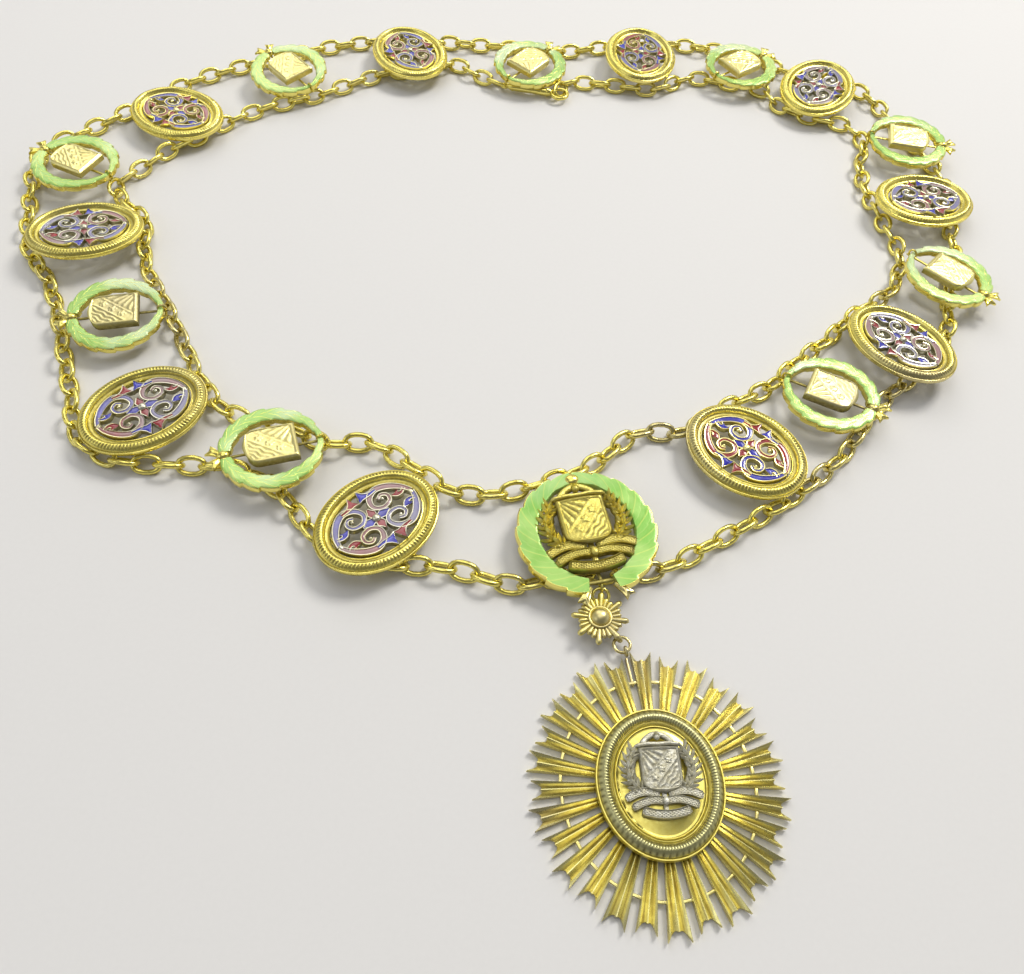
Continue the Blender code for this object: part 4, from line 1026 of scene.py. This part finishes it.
class COLLAR_OT_wreaths(bpy.types.Operator):
    """Model the small wreaths: two enamelled branches, a knot and a shield in each."""
    bl_idname = "collar.wreaths"
    bl_label = "Small wreaths"

    def execute(self, context):
        size, tone = sizes(), colours()
        radius = size.wreath_diameter / 2
        leaves = [branch_patch(side, WREATH_LEAVES, radius, size.wreath_band, size.wreath_rise,
                               WREATH_OPENING, relief=0.25)
                  for side in (1, -1)]
        knot = knot_shapes()
        shield_gold = metal("shield_gold", tone.pale_gold, tone.tarnish, spread=0.12, roughness=0.33)
        shield = shield_patch(size.shield_height, size.shield_width, size.shield_thickness, SHIELD_LOW,
                              SHIELD_RELIEF)
        around = circle(72)
        underside = grid(radius * np.cos(around), radius * np.sin(around), 0)
        for place, number in numbered("wreath"):
            turn, spot = seat(place, f"wreath_{number}", underside)
            # Share of each leaf point towards the far side, which places the painted reflection on the leaf
            # enamel
            far = [(leaf["verts"] @ turn.T)[:, 1] / radius for leaf in leaves]
            green = [tagged(leaf, far=share) for leaf, share in zip(leaves, far)]
            make_piece(f"leaf_wreath_{number}", green, leaf_enamel(), "enamel_green", [f"wreath_{number}"],
                       50, turn, spot)
            make_piece(f"wreath_knot_{number}", knot, plain_gold(), "gold", turn=turn, spot=spot)
            make_piece(f"relief_shield_{number}", [shield], shield_gold, "gold",
                       [f"wreath_shield_{number}"], turn=turn, spot=spot)
        return {"FINISHED"}


# Relief in the large wreath and on the badge

BIG_RELIEF_RISE, BADGE_RELIEF_RISE = 0.0032, 0.0020


def rope_patch(route, width, height, low, rows=40):
    """Half-round bar along a route, rounded off at both ends."""
    line, _, left = tracked(smooth_route(route), rows)
    t = np.linspace(0, 1, rows)[:, None]
    around = np.linspace(0, np.pi, 11)
    full = np.clip(np.minimum(t, 1 - t) / 0.06, 0.25, 1) ** 0.5
    flat = line + left * (width / 2 * full * np.cos(around))[:, :, None]
    arch = raised(flat, low + height * full * (np.sin(around) ** 0.7 * 0.9 + 0.1))
    points = np.concatenate([footed(arch[:, :1], low), arch, footed(arch[:, -1:], low), raised(line, low)],
                            axis=1)
    dull = 0.9 * np.array([1, *(1 - np.sin(around)), 1, 1])
    return patch(points, groove=dull)


def ribbon_patch(route, width, height, low):
    """Flat ribbon bar along a route: two raised edges, and between them grains in a checked pattern.

    A grain's height is 0.5 + 0.5 cos(2 pi count t) cos(pi v / 0.3), t along the bar and v across it.
    """
    route = smooth_route(route)
    length = measured(route)[-1]
    count = max(4, round(length / width * 2.2))
    rows = count * 6 + 1
    line, _, left = tracked(route, rows)
    t = np.linspace(0, 1, rows)[:, None]
    # share across, height and tarnish of the raised edge and of the half beside it
    edge = [(1.0, 0.0, 0.9), (1.0, 0.72, 0.7), (0.95, 0.93, 0.2), (0.86, 1.0, 0.0), (0.76, 0.96, 0.2),
            (0.68, 0.80, 0.95)]
    half = edge + [(v, 0.80, 0.55) for v in (0.60, 0.45, 0.30, 0.15)]
    across, up, dull = np.array(half + [(0.0, 0.80, 0.55)] + [(-v, *rest) for v, *rest in reversed(half)]).T
    middle = np.abs(across) < 0.62
    grain = (0.5 + 0.5 * np.cos(2 * np.pi * count * t) * np.cos(np.pi * across / 0.3)) * middle
    ends = np.clip(np.minimum(t, 1 - t) * length / (width * 0.25), 0.5, 1) ** 0.5
    flat = line + left * (width / 2 * ends * across)[:, :, None]
    return patch(raised(flat, low + height * ends * (up + 0.16 * grain)),
                 groove=dull - 0.35 * grain + 0.25 * (middle - grain))


def leaflet(root, heading, length, width, low, height):
    """Pointed leaf with a raised rib: half width = w sin(pi t)^0.7, height falling to its edges."""
    t = np.linspace(0.02, 0.98, 9)[:, None]
    v = np.linspace(-1, 1, 7)
    half = width / 2 * np.sin(np.pi * t) ** 0.7
    z = low + height * (0.25 + 0.75 * (1 - np.abs(v)) ** 0.8) * (0.5 + 0.5 * np.sin(np.pi * t))
    under = grid(length * t, half * v[::-1] * 0.9, low)
    points = np.concatenate([grid(length * t, half * v, z), under], axis=1)
    strip = patch(points, groove=np.array([*(np.abs(v) ** 4 * 0.6), *np.ones(7)]))
    return placed(strip, turn_z(heading), (*root, 0))


def spray_shapes(unit, side, thickness, low):
    """Laurel spray beside the shield: a curved stem with pointed leaflets on both sides, berries between."""
    stem = np.array([(0.34, 0.50), (0.02, 0.74), (-0.34, 0.78), (-0.68, 0.62)]) * unit * (1, side)
    stem = smooth_route(stem)
    shapes = [rope_patch(stem[::8], unit * 0.06, thickness * 0.40, low)]
    stops = np.linspace(0.02, 0.96, 9) * measured(stem)[-1]
    ahead = at_distance(stem, stops + 0.0004) - at_distance(stem, stops - 0.0004)
    headings = np.arctan2(ahead[:, 1], ahead[:, 0])
    for step, (root, heading) in enumerate(zip(at_distance(stem, stops), headings)):
        for turn in (0.72, -0.72, 0.0):
            long = unit * (0.34 - 0.05 * (step % 2) if turn else 0.24)
            lift = low + thickness * (0.16 if turn else 0.24) * (1 + step % 2)
            shapes.append(leaflet(root, heading + turn, long, unit * 0.105, lift, thickness * 0.42))
        if step % 2:
            berry = root + unit * 0.10 * np.array([math.cos(heading + 1.6), math.sin(heading + 1.6)])
            shapes.append(lump_patch((unit * 0.06,) * 3, (*berry, low + thickness * 0.7), 7, 10))
    return shapes


def mirrored_route(half):
    """Route through half of its points and their mirrored twins across the trophy's middle."""
    return half + [(x, -y) for x, y in reversed(half) if y]


# Bars and ribbons of the trophy, in half widths: the head bar, the arch over it and the foot ribbon
HEAD_BAR = mirrored_route([(-0.80, -0.58), (-0.84, -0.3), (-0.83, 0.0)])
ARCH = mirrored_route([(-0.80, -0.40), (-0.94, -0.32), (-1.06, -0.16), (-1.10, 0.0)])
FOOT = mirrored_route([(0.74, -0.58), (0.82, -0.30), (0.85, 0.0)])
# Folded ribbons of one side, with their width in half widths and their height in thicknesses
FOLDS = (([(0.37, 0.11), (0.30, 0.34), (0.31, 0.62), (0.44, 0.94)], 0.20, 0.56),
         ([(0.52, 0.02), (0.50, 0.30), (0.56, 0.56), (0.66, 0.80)], 0.19, 0.74))


def arms_shapes(width, thickness, low):
    """Generic trophy, head at -x: shield under an arch and a rayed crest, sprays and folded ribbons."""
    unit = width / 2
    shield = shield_patch(unit * 1.12, unit * 1.02, thickness, low, 0.00050, thickness * 0.20)
    shapes = [placed(shield, None, (-0.22 * unit, 0, 0)),
              rope_patch(np.array(HEAD_BAR) * unit, unit * 0.11, thickness * 0.50, low + thickness * 0.40),
              rope_patch(np.array(ARCH) * unit, unit * 0.16, thickness * 0.5, low)]
    for angle in np.linspace(-1.0, 1.0, 7):
        root = (-1.0 * unit, 0.05 * unit * math.sin(angle))
        shapes.append(leaflet(root, math.pi + angle, unit * 0.17, unit * 0.07, low + thickness * 0.2,
                              thickness * 0.5))
    shapes.append(lump_patch((unit * 0.16, unit * 0.16, thickness * 0.9),
                             (-1.0 * unit, 0, low + thickness * 0.45), 8, 14))
    for side in (1, -1):
        shapes += spray_shapes(unit, side, thickness, low)
        for route, wide, high in FOLDS:
            fold = np.array(route) * unit * (1, side)
            shapes.append(ribbon_patch(fold, unit * wide, thickness * high, low))
    shapes.append(ribbon_patch(np.array(FOOT) * unit, unit * 0.21, thickness * 0.92, low))
    shapes.append(lump_patch((unit * 0.20, unit * 0.16, thickness * 0.5),
                             (0.54 * unit, 0, low + thickness * 0.80), 8, 14))
    shapes.append(bar_patch((-0.9 * unit, 0), (0.8 * unit, 0), unit * 0.12, low - 0.0001,
                            low + thickness * 0.3))
    return shapes


class COLLAR_OT_big_wreath(bpy.types.Operator):
    """Model the large wreath over the badge, with its relief, tie and tails."""
    bl_idname = "collar.big_wreath"
    bl_label = "Large wreath"

    def execute(self, context):
        size, tone = sizes(), colours()
        big = PLACES[0]
        spot = np.array([*on_plan((big.x, big.y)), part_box("chain_outer")[1][2] + GAP])
        laid = {"turn": turn_z(math.radians(big.heading)), "spot": spot}
        radius = size.big_diameter / 2
        leaves = [branch_patch(side, BIG_LEAVES, radius, size.big_band, BIG_RISE, BIG_OPENING, False,
                               0.80, 0.12)
                  for side in (1, -1)]
        make_piece("large_leaf_wreath", leaves, leaf_enamel(), "enamel_green", ["big_wreath"], 50, **laid)
        middle = radius - size.big_band / 2
        foot = middle * math.cos(BIG_OPENING)
        spread = middle * math.sin(BIG_OPENING) + 0.001
        shapes = [bar_patch((foot - 0.0012, -spread), (foot - 0.0012, spread), 0.0013, 0.0001, 0.0009, 0.9),
                  bar_patch((-radius + 0.0010, 0), (foot - 0.001, 0), 0.0010, 0.0001, 0.0009, 0.9)]
        for side in (1, -1):
            root = (radius * math.cos(BIG_OPENING) - 0.0030, side * spread * 0.75)
            shapes.append(forked_tail(root, side * 0.60, 0.0062, 0.0034, 0.0008, 0.0013))
        shapes.append(lump_patch((0.0042, 0.0050, 0.0026), (-radius + 0.0028, 0, 0.0020)))
        shapes.append(torus_patch(EYE_REACH, EYE_WIRE, 24, 8, UPRIGHT, (middle - 0.0006, 0, -0.0012)))
        make_piece("large_wreath_gold", shapes, plain_gold(), "gold", **laid)
        relief_gold = metal("relief_gold", [0.86 * channel for channel in tone.gold], tone.tarnish,
                            spread=0.45, roughness=0.36, wear=0.4, granular=True)
        arms = arms_shapes(size.big_arms, BIG_RELIEF_RISE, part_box("big_arms")[0][2] - spot[2])
        make_piece("large_relief", arms, relief_gold, "arms_gold", ["big_arms"], **laid)
        return {"FINISHED"}


# Star link, rings and clasp

STAR_RAYS = 24
STAR_ROOT = 0.0026
# Reach in half diameters, and width, of three rays side by side
STAR_RAY_KINDS = ((1, 0.0022), (0.76, 0.00172), (0.80, 0.00172))
STAR_HEADING = math.radians(268)
# Heading of each eye behind the star link, and its reach in diameters
STAR_EYES = ((88, 0.33), (-42, 0.44))
# Heading of each jump ring in degrees, and how far its lower side falls
RINGS = (("upper_ring", 268, 0.00165), ("lower_ring", -59, 0.0))


def star_ray(reach, root, wide):
    """Half-round ray along x from root to reach, swelling to its blunt tip."""
    t = np.array([0, 0.2, 0.4, 0.6, 0.76, 0.86, 0.92, 0.97, 1.0])[:, None]
    around = circle(8)
    swell = wide / 2 * (0.50 + 0.50 * t) * np.clip((1.02 - t) / 0.18, 0, 1) ** 0.5
    points = grid(root + (reach - root) * t, swell * np.cos(around), swell * 0.9 * np.sin(around))
    return patch(points, groove=0.5 * (1 - t))


def star_shapes():
    """Rays round a ringed dome: every third ray is long and wide."""
    long = sizes().star_diameter / 2
    shapes = []
    for step in range(STAR_RAYS):
        share, wide = STAR_RAY_KINDS[step % len(STAR_RAY_KINDS)]
        turn = turn_z(math.radians(360 / STAR_RAYS * step))
        shapes.append(placed(star_ray(long * share, STAR_ROOT, wide), turn, (0, 0, 0.0006)))
    return shapes + [torus_patch(0.0032, 0.0009, 36, 10, None, (0, 0, 0.0012)),
                     lump_patch((0.0056, 0.0056, 0.0042), (0, 0, 0.0012), 26, 48),
                     lump_patch((0.0066, 0.0066, 0.0012), (0, 0, 0.0007), 8, 28)]


class COLLAR_OT_star_and_rings(bpy.types.Operator):
    """Model the star link with its two eyes, the two rings and the clasp."""
    bl_idname = "collar.star_and_rings"
    bl_label = "Star link, rings and clasp"

    def execute(self, context):
        self.star()
        self.rings()
        self.clasp()
        return {"FINISHED"}

    def star(self):
        """Star link, lying on the two eyes behind it."""
        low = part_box("star_link")[0][2]
        middle = node_middle("star_link")[:2]
        eye_outer = 2 * EYE_REACH + EYE_WIRE
        shapes = [placed(shape, turn_z(STAR_HEADING), (*middle, low + eye_outer - 0.0004))
                  for shape in star_shapes()]
        for degrees, share in STAR_EYES:
            turn = turn_z(math.radians(degrees))
            spot = turn[:, 0] * sizes().star_diameter * share + (*middle, low + eye_outer / 2)
            shapes.append(torus_patch(EYE_REACH, EYE_WIRE, 28, 10, turn @ UPRIGHT, spot))
        star_gold = metal("star_gold", colours().gold, colours().tarnish, spread=0.15, roughness=0.36,
                          wear=0.02)
        make_piece("star_link_rays", shapes, star_gold, "gold", ["star_link"], 60)

    def rings(self):
        """The two jump rings."""
        for name, degrees, fall in RINGS:
            pitch = math.asin(min(1, fall / (2 * RING_REACH)))
            turn = np.array(Matrix.Rotation(math.radians(degrees), 3, "Z") @ Matrix.Rotation(pitch, 3, "Y"))
            ring = torus_patch(RING_REACH, RING_WIRE, 40, 12, turn, node_middle(name))
            make_piece(f"jump_{name}", [ring], plain_gold(), "gold", [name])

    def clasp(self):
        """Round bar with a ring and an eye, lying as the CAD clasp does."""
        start, end = on_plan((INNER_ROUTE[0], INNER_ROUTE[-1]))
        t = np.linspace(0, 1, 15)[:, None]
        around = circle(16)
        swell = 0.0017 * np.clip(np.minimum(t, 1 - t) / 0.07, 0.35, 1) ** 0.5
        shapes = [patch(grid((t - 0.5) * 0.020, swell * np.cos(around), swell * np.sin(around)), groove=0.1),
                  torus_patch(0.0036, 0.0016, 40, 12, None, (0.0136, 0, 0)),
                  torus_patch(0.0015, 0.0011, 24, 10, None, (-0.0115, 0, 0))]
        across_bar = np.array([(0, 0, 1), (0, 1, 0), (-1, 0, 0)])
        shapes += [torus_patch(0.0015, 0.0009, 24, 8, across_bar, (stop, 0, 0))
                   for stop in (-0.0080, 0.0080)]
        make_piece("clasp_bar", shapes, plain_gold(), "gold", ["clasp"],
                   turn=turn_z(math.atan2(*(start - end)[::-1])),
                   spot=(*(start + end) / 2, node_middle("clasp")[2]))


# Badge, head towards its own +y

RAY_COUNT = 28
# Every other ray is shorter and slimmer: drop of its tip, and share of its pitch that the tip fills
RAY_DROPS, RAY_FILLS = (0.0, 0.0012), (0.72, 0.66)
PIN_WIDTH, PIN_LOW, PIN_HIGH = 0.0009, 0.0006, 0.0015
# Width of the hub in shares of the medallion's
HUB_SHARE = 0.86


def oval_reach(angle, width, height):
    """Distance from an oval's middle to its edge at an angle."""
    return 1 / math.hypot(math.cos(angle) / (width / 2), math.sin(angle) / (height / 2))


def ray_patch(angle, drop, fill):
    """One fluted ray: ridges at its edges and middle, V grooves between, and a fishtail tip.

    Across, u runs from -1 to 1. The tip draws back by notch (1 - |u|^2.2) less a small middle tooth, and the
    sides open with the radius. Each top point has an under point below it, and they meet at both ends.
    """
    size = sizes()
    ahead = np.array([math.cos(angle), math.sin(angle)])
    left = np.array([-ahead[1], ahead[0]])
    edge = oval_reach(angle, size.badge_width, size.badge_height) - drop
    root = oval_reach(angle, size.medallion_width, size.medallion_height) * 0.80
    low, high = 0.0003, 0.0019
    # share across, depth below the ridge, tarnish, of one half
    half = [(-1.00, 0.0002, 0.2), (-0.96, 0, 0), (-0.88, 0.0001, 0), (-0.66, 0.0006, 0.2),
            (-0.45, 0.0011, 0.9), (-0.25, 0.0007, 0.2), (-0.05, 0.0002, 0)]
    u, depth, dull = np.array(half + [(-u, *rest) for u, *rest in reversed(half)]).T
    z = np.concatenate([high - depth, np.full(len(u), low)])
    dull = np.concatenate([dull, np.full(len(u), 0.8)])
    u = np.concatenate([u, u[::-1]])
    t = np.linspace(0, 1, 10)[:, None]
    notch = 0.0030 * (1 - np.abs(u) ** 2.2) - 0.0006 * np.exp(-(u / 0.2) ** 2)
    reach = root + (edge - root) * t - notch * t
    half_width = reach * math.sin(math.pi / RAY_COUNT) * (0.60 + (fill - 0.60) * t)
    points = raised(ahead * reach[:, :, None] + left * (half_width * u)[:, :, None], z)
    points = np.concatenate([footed(points[:1], low), points, footed(points[-1:], low)])
    groove = np.pad(dull * (1 - 0.35 * t), [(1, 1), (0, 0)], mode="edge")
    veil = 0.05 + 0.50 * (0.5 + 0.5 * math.sin(3 * angle + 1.1) * math.sin(7.7 * angle)) ** 2
    return patch(points, "met", groove=groove, veil=veil)


def rays_shapes():
    """All rays, the cross pins between them, the hub under the medallion and the eye on its stem."""
    size = sizes()
    angles = math.pi / 2 + circle(RAY_COUNT)
    shapes = [ray_patch(angle, RAY_DROPS[step % 2], RAY_FILLS[step % 2])
              for step, angle in enumerate(angles)]
    pins = ((size.badge_width + size.medallion_width) / 2, (size.badge_height + size.medallion_height) / 2)
    half_pitch = math.pi / RAY_COUNT
    for angle in angles:
        turns = (angle + half_pitch * 0.55, angle + half_pitch * 1.45)
        ends = [np.array([math.cos(turn), math.sin(turn)]) * oval_reach(turn, *pins) for turn in turns]
        shapes.append(bar_patch(*ends, PIN_WIDTH, PIN_LOW, PIN_HIGH))
    hub_x, hub_y = size.medallion_width / 2 * HUB_SHARE, size.medallion_height / 2 * HUB_SHARE
    hub = [(0, 0), (0, 0.0019), (0.0003, 0.0020), (hub_x * 0.99, 0.0020), (hub_x * 0.99, 0.0)]
    shapes.append(turned_patch(hub, hub_x, hub_y, 96, groove=0.6))
    return shapes + eye_shapes(pins[1] / 2)


def eye_shapes(pin_reach):
    """Eye for the lower ring, between two rays at the head, with its stem from the pins."""
    turn = turn_z(math.pi / 2 + math.pi / RAY_COUNT)
    ahead = turn[:2, 0]
    reach = sizes().badge_height / 2
    return [torus_patch(EYE_REACH, EYE_WIRE, 28, 10, turn @ UPRIGHT, (*(ahead * reach), 0.00265)),
            bar_patch(ahead * pin_reach * 0.97, ahead * (reach - 0.0012), 0.0007, 0.0002, 0.0010, 0.60)]


# Width of the medallion's band against the table below, steps round it, and depth of its hatching
BAND_SHARE = 0.91
MEDALLION_STEPS = 520
MEDALLION_CUT = 0.00015


def medallion_patch():
    """Oval medallion: thin lip, broad band hatched inside and dotted outside, inner lip, cove, dome."""
    size = sizes()
    half_x, half_y = size.medallion_width / 2, size.medallion_height / 2
    # inset and height in tenths of a millimetre, share of the fine hatching, share of the dots, tarnish
    section = [
        (2, 0, 0, 0, 0.5), (0, 4, 0, 0, 0.3), (0, 18, 0, 0, 0.1), (2, 22, 0, 0, 0), (5, 22, 0, 0, 0),
        (7, 20, 0, 0, 0.9), (10, 24, 0, 0.6, 0.45), (13, 29, 0, 1.2, 0.30), (17, 33, 0, 1.0, 0.25),
        (21, 36, 0.3, 0.2, 0.25), (26, 38, 0.8, 0, 0.20), (31, 38, 1.3, 0, 0.20), (36, 36, 1.3, 0, 0.2),
        (40, 32, 0.9, 0, 0.4), (43, 28, 0, 0, 0.95), (45, 28, 0, 0, 0.7), (47, 31, 0, 0, 0),
        (49, 32, 0, 0, 0), (52, 31, 0, 0, 0), (55, 27, 0, 0, 0.8), (57, 29, 0, 0, 0), (59, 29, 0, 0, 0),
        (61, 25, 0, 0, 0.6), (65, 23.5, 0, 0, 0.1), (69, 24, 0, 0, 0)]
    start, reach = section[-1][0], half_x / BAND_SHARE * 1e4
    for share in np.linspace(0.10, 0.97, 12):
        dome = 24 + 14 * math.sin(share * math.pi / 2)
        section.append((start + (reach - start) * share, dome, 0, 0, 0))
    section.append((reach * 0.97, 1, 0, 0, 0))
    inset, height, hatched, dotted, dull = (np.array(section) * (1e-4 * BAND_SHARE, 1e-4, 1, 1, 1)).T
    number = np.arange(MEDALLION_STEPS)[:, None]
    fine = (0.5 - 0.5 * np.cos(np.pi / 2 * number)) ** 2 * hatched
    dots = (0.5 - 0.5 * np.cos(np.pi / 4 * number)) ** 2 * dotted
    return turned_patch(grid(inset, height), half_x, half_y, MEDALLION_STEPS, -MEDALLION_CUT * (fine + dots),
                        groove=np.clip(dull + fine * 0.45 + dots * 0.55, 0, 1),
                        veil=0.85 * ((inset > 0.0007) & (inset < 0.0038)))


class COLLAR_OT_badge(bpy.types.Operator):
    """Model the badge: fluted rays, hatched medallion and its relief."""
    bl_idname = "collar.badge"
    bl_label = "Badge"

    def execute(self, context):
        size, tone = sizes(), colours()
        ground = node_middle("badge_medallion") * (1, 1, 0)
        turn = turn_z(BADGE_LEAN)
        rays_gold = metal("rays_gold", tone.ray_gold, tone.rust, 0.9, 0.12, 60.0, 0.27, 0.01,
                          streaks=0.50, veil=tone.ray_film)
        make_piece("fluted_rays", rays_shapes(), rays_gold, "gold", ["badge_rays"], 20, turn, ground)
        seated = ground + (0, 0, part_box("badge_medallion")[0][2])
        medallion_gold = metal("medallion_gold", tone.gold, tone.tarnish, spread=0.10, roughness=0.34,
                               wear=0.04, veil=tone.film)
        make_piece("hatched_medallion", [medallion_patch()], medallion_gold, "gold", ["badge_medallion"],
                   turn=turn, spot=seated)
        relief_grey = metal("relief_grey", tone.grey_relief, tone.tarnish, 0.75, 0.2, roughness=0.48,
                            wear=0.5, granular=True)
        arms = arms_shapes(size.badge_arms, BADGE_RELIEF_RISE, 0.0)
        make_piece("badge_relief", arms, relief_grey, "arms_gold", ["badge_arms"],
                   turn=turn @ turn_z(-math.pi / 2), spot=ground + (0, 0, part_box("badge_arms")[0][2]))
        return {"FINISHED"}


# Stage

FLOOR_REACH, FLOOR_SIDES = 1.8, 180
CAMERA_HEIGHT = 0.242
CAMERA_PITCH = math.radians(55.96)
CAMERA_ROLL = math.radians(4.68)
FOCAL_PIXELS = 904.1
PHOTO_WIDTH = 1024
SENSOR = 36.0
# Name, place, diameter, power and colour of each light
LIGHTS = (("key", (0.90, 1.00, 1.50), 0.72, 22.5, (1.0, 0.97, 0.92)),
          ("fill", (-1.50, -0.70, 1.40), 1.20, 4.1, (0.93, 0.96, 1.0)),
          ("overhead", (-0.10, 0.10, 1.90), 1.24, 5.8, (1.0, 0.99, 0.97)),
          ("back", (-0.50, 1.50, 1.60), 1.60, 11.7, (1.0, 0.99, 0.97)))


class COLLAR_OT_stage(bpy.types.Operator):
    """Set the pale floor, the soft lights and the camera at the photograph's angle."""
    bl_idname = "collar.stage"
    bl_label = "Stage"

    def execute(self, context):
        self.floor()
        self.lights(context.scene)
        self.sky(context.scene)
        self.camera(context.scene)
        return {"FINISHED"}

    def floor(self):
        """Large round pale floor under the collar."""
        def build(graph):
            pale = colours().floor
            fibre = graph.noise(graph.place(), 700.0, 2.0)
            return {"Base Color": graph.mix(fibre, [c * 0.97 for c in pale], pale), "Roughness": 0.75}

        around = circle(FLOOR_SIDES)
        rim = grid(FLOOR_REACH * np.cos(around), FLOOR_REACH * np.sin(around), -0.0001)
        mesh = bpy.data.meshes.new("studio_floor")
        mesh.from_pydata(rim.tolist(), [], [range(FLOOR_SIDES)])
        mesh.update()
        mesh.materials.append(shaded("floor_paper", build))
        floor = bpy.data.objects.new("studio_floor", mesh)
        bpy.context.scene.collection.objects.link(floor)

    def lights(self, scene):
        """A broad key from the far right, a fill from the left, one overhead and one behind."""
        target = Vector((0, -0.02, 0))
        for name, spot, across, power, colour in LIGHTS:
            light = bpy.data.lights.new(name, "AREA")
            light.shape = "DISK"
            light.size = across
            light.energy = power
            light.color = colour
            lamp = bpy.data.objects.new(name, light)
            lamp.location = spot
            lamp.rotation_euler = (target - Vector(spot)).to_track_quat("-Z", "Y").to_euler()
            scene.collection.objects.link(lamp)

    def sky(self, scene):
        """Sky that darkens upwards and to the front, and that is pale where the camera sees it."""
        world = bpy.data.worlds.new("studio")
        world.use_nodes = True
        graph = Graph(world.node_tree)
        axes = graph.axes(graph.add("ShaderNodeTexCoord", output="Generated"))
        sky = graph.mix(graph.step(axes[2], 0.0, 0.9), (0.78, 0.78, 0.78), (0.15, 0.15, 0.16))
        sky = graph.mix(graph.step(axes[1], -0.9, 0.1), (0.20, 0.20, 0.21), sky)
        seen = graph.add("ShaderNodeLightPath", output="Is Camera Ray")
        background = world.node_tree.nodes["Background"]
        graph.feed(background.inputs["Color"], graph.mix(seen, sky, (0.62, 0.62, 0.61)))
        background.inputs["Strength"].default_value = 1.0
        scene.world = world
        scene.view_settings.view_transform = "Standard"

    def camera(self, scene):
        """Camera of the layout: over its origin, pitched down and rolled as the photograph is."""
        right = Vector((1, 0, 0))
        ahead = Vector((0, math.cos(CAMERA_PITCH), -math.sin(CAMERA_PITCH)))
        up = right.cross(ahead)
        rolled_right = right * math.cos(CAMERA_ROLL) + up * math.sin(CAMERA_ROLL)
        rolled_up = up * math.cos(CAMERA_ROLL) - right * math.sin(CAMERA_ROLL)
        camera = bpy.data.objects.new("camera", bpy.data.cameras.new("camera"))
        camera.matrix_world = (Matrix.Translation((*on_plan((0, 0)), CAMERA_HEIGHT))
                               @ Matrix((rolled_right, rolled_up, -ahead)).transposed().to_4x4())
        camera.data.sensor_width = SENSOR
        camera.data.lens = FOCAL_PIXELS / PHOTO_WIDTH * SENSOR
        camera.data.clip_start = 0.01
        scene.collection.objects.link(camera)
        scene.camera = camera


class COLLAR_PT_panel(bpy.types.Panel):
    """Sizes, colours and the steps that model the collar."""
    bl_idname = "COLLAR_PT_panel"
    bl_label = "Collar of an Order"
    bl_space_type = "VIEW_3D"
    bl_region_type = "UI"
    bl_category = "Collar"

    def draw(self, context):
        for group in (context.scene.collar_sizes, context.scene.collar_colours):
            box = self.layout.box()
            for name in group.bl_rna.properties.keys():
                if name not in {"rna_type", "name"}:
                    box.prop(group, name)
        for step in STEPS:
            self.layout.operator(step.bl_idname)


STEPS = (COLLAR_OT_stage, COLLAR_OT_chains, COLLAR_OT_ovals, COLLAR_OT_wreaths, COLLAR_OT_big_wreath,
         COLLAR_OT_star_and_rings, COLLAR_OT_badge)
CLASSES = (CollarSizes, CollarColours, *STEPS, COLLAR_PT_panel)


def register():
    """Register the classes and hang the settings on the scene."""
    for entry in CLASSES:
        bpy.utils.register_class(entry)
    bpy.types.Scene.collar_sizes = PointerProperty(type=CollarSizes)
    bpy.types.Scene.collar_colours = PointerProperty(type=CollarColours)


def unregister():
    """Take the settings off the scene and unregister the classes."""
    del bpy.types.Scene.collar_colours
    del bpy.types.Scene.collar_sizes
    for entry in reversed(CLASSES):
        bpy.utils.unregister_class(entry)


def main():
    """Model the whole collar."""
    register()
    bpy.ops.collar.stage()
    bpy.ops.collar.chains()
    bpy.ops.collar.ovals()
    bpy.ops.collar.wreaths()
    bpy.ops.collar.big_wreath()
    bpy.ops.collar.star_and_rings()
    bpy.ops.collar.badge()


if __name__ == "__main__":
    main()
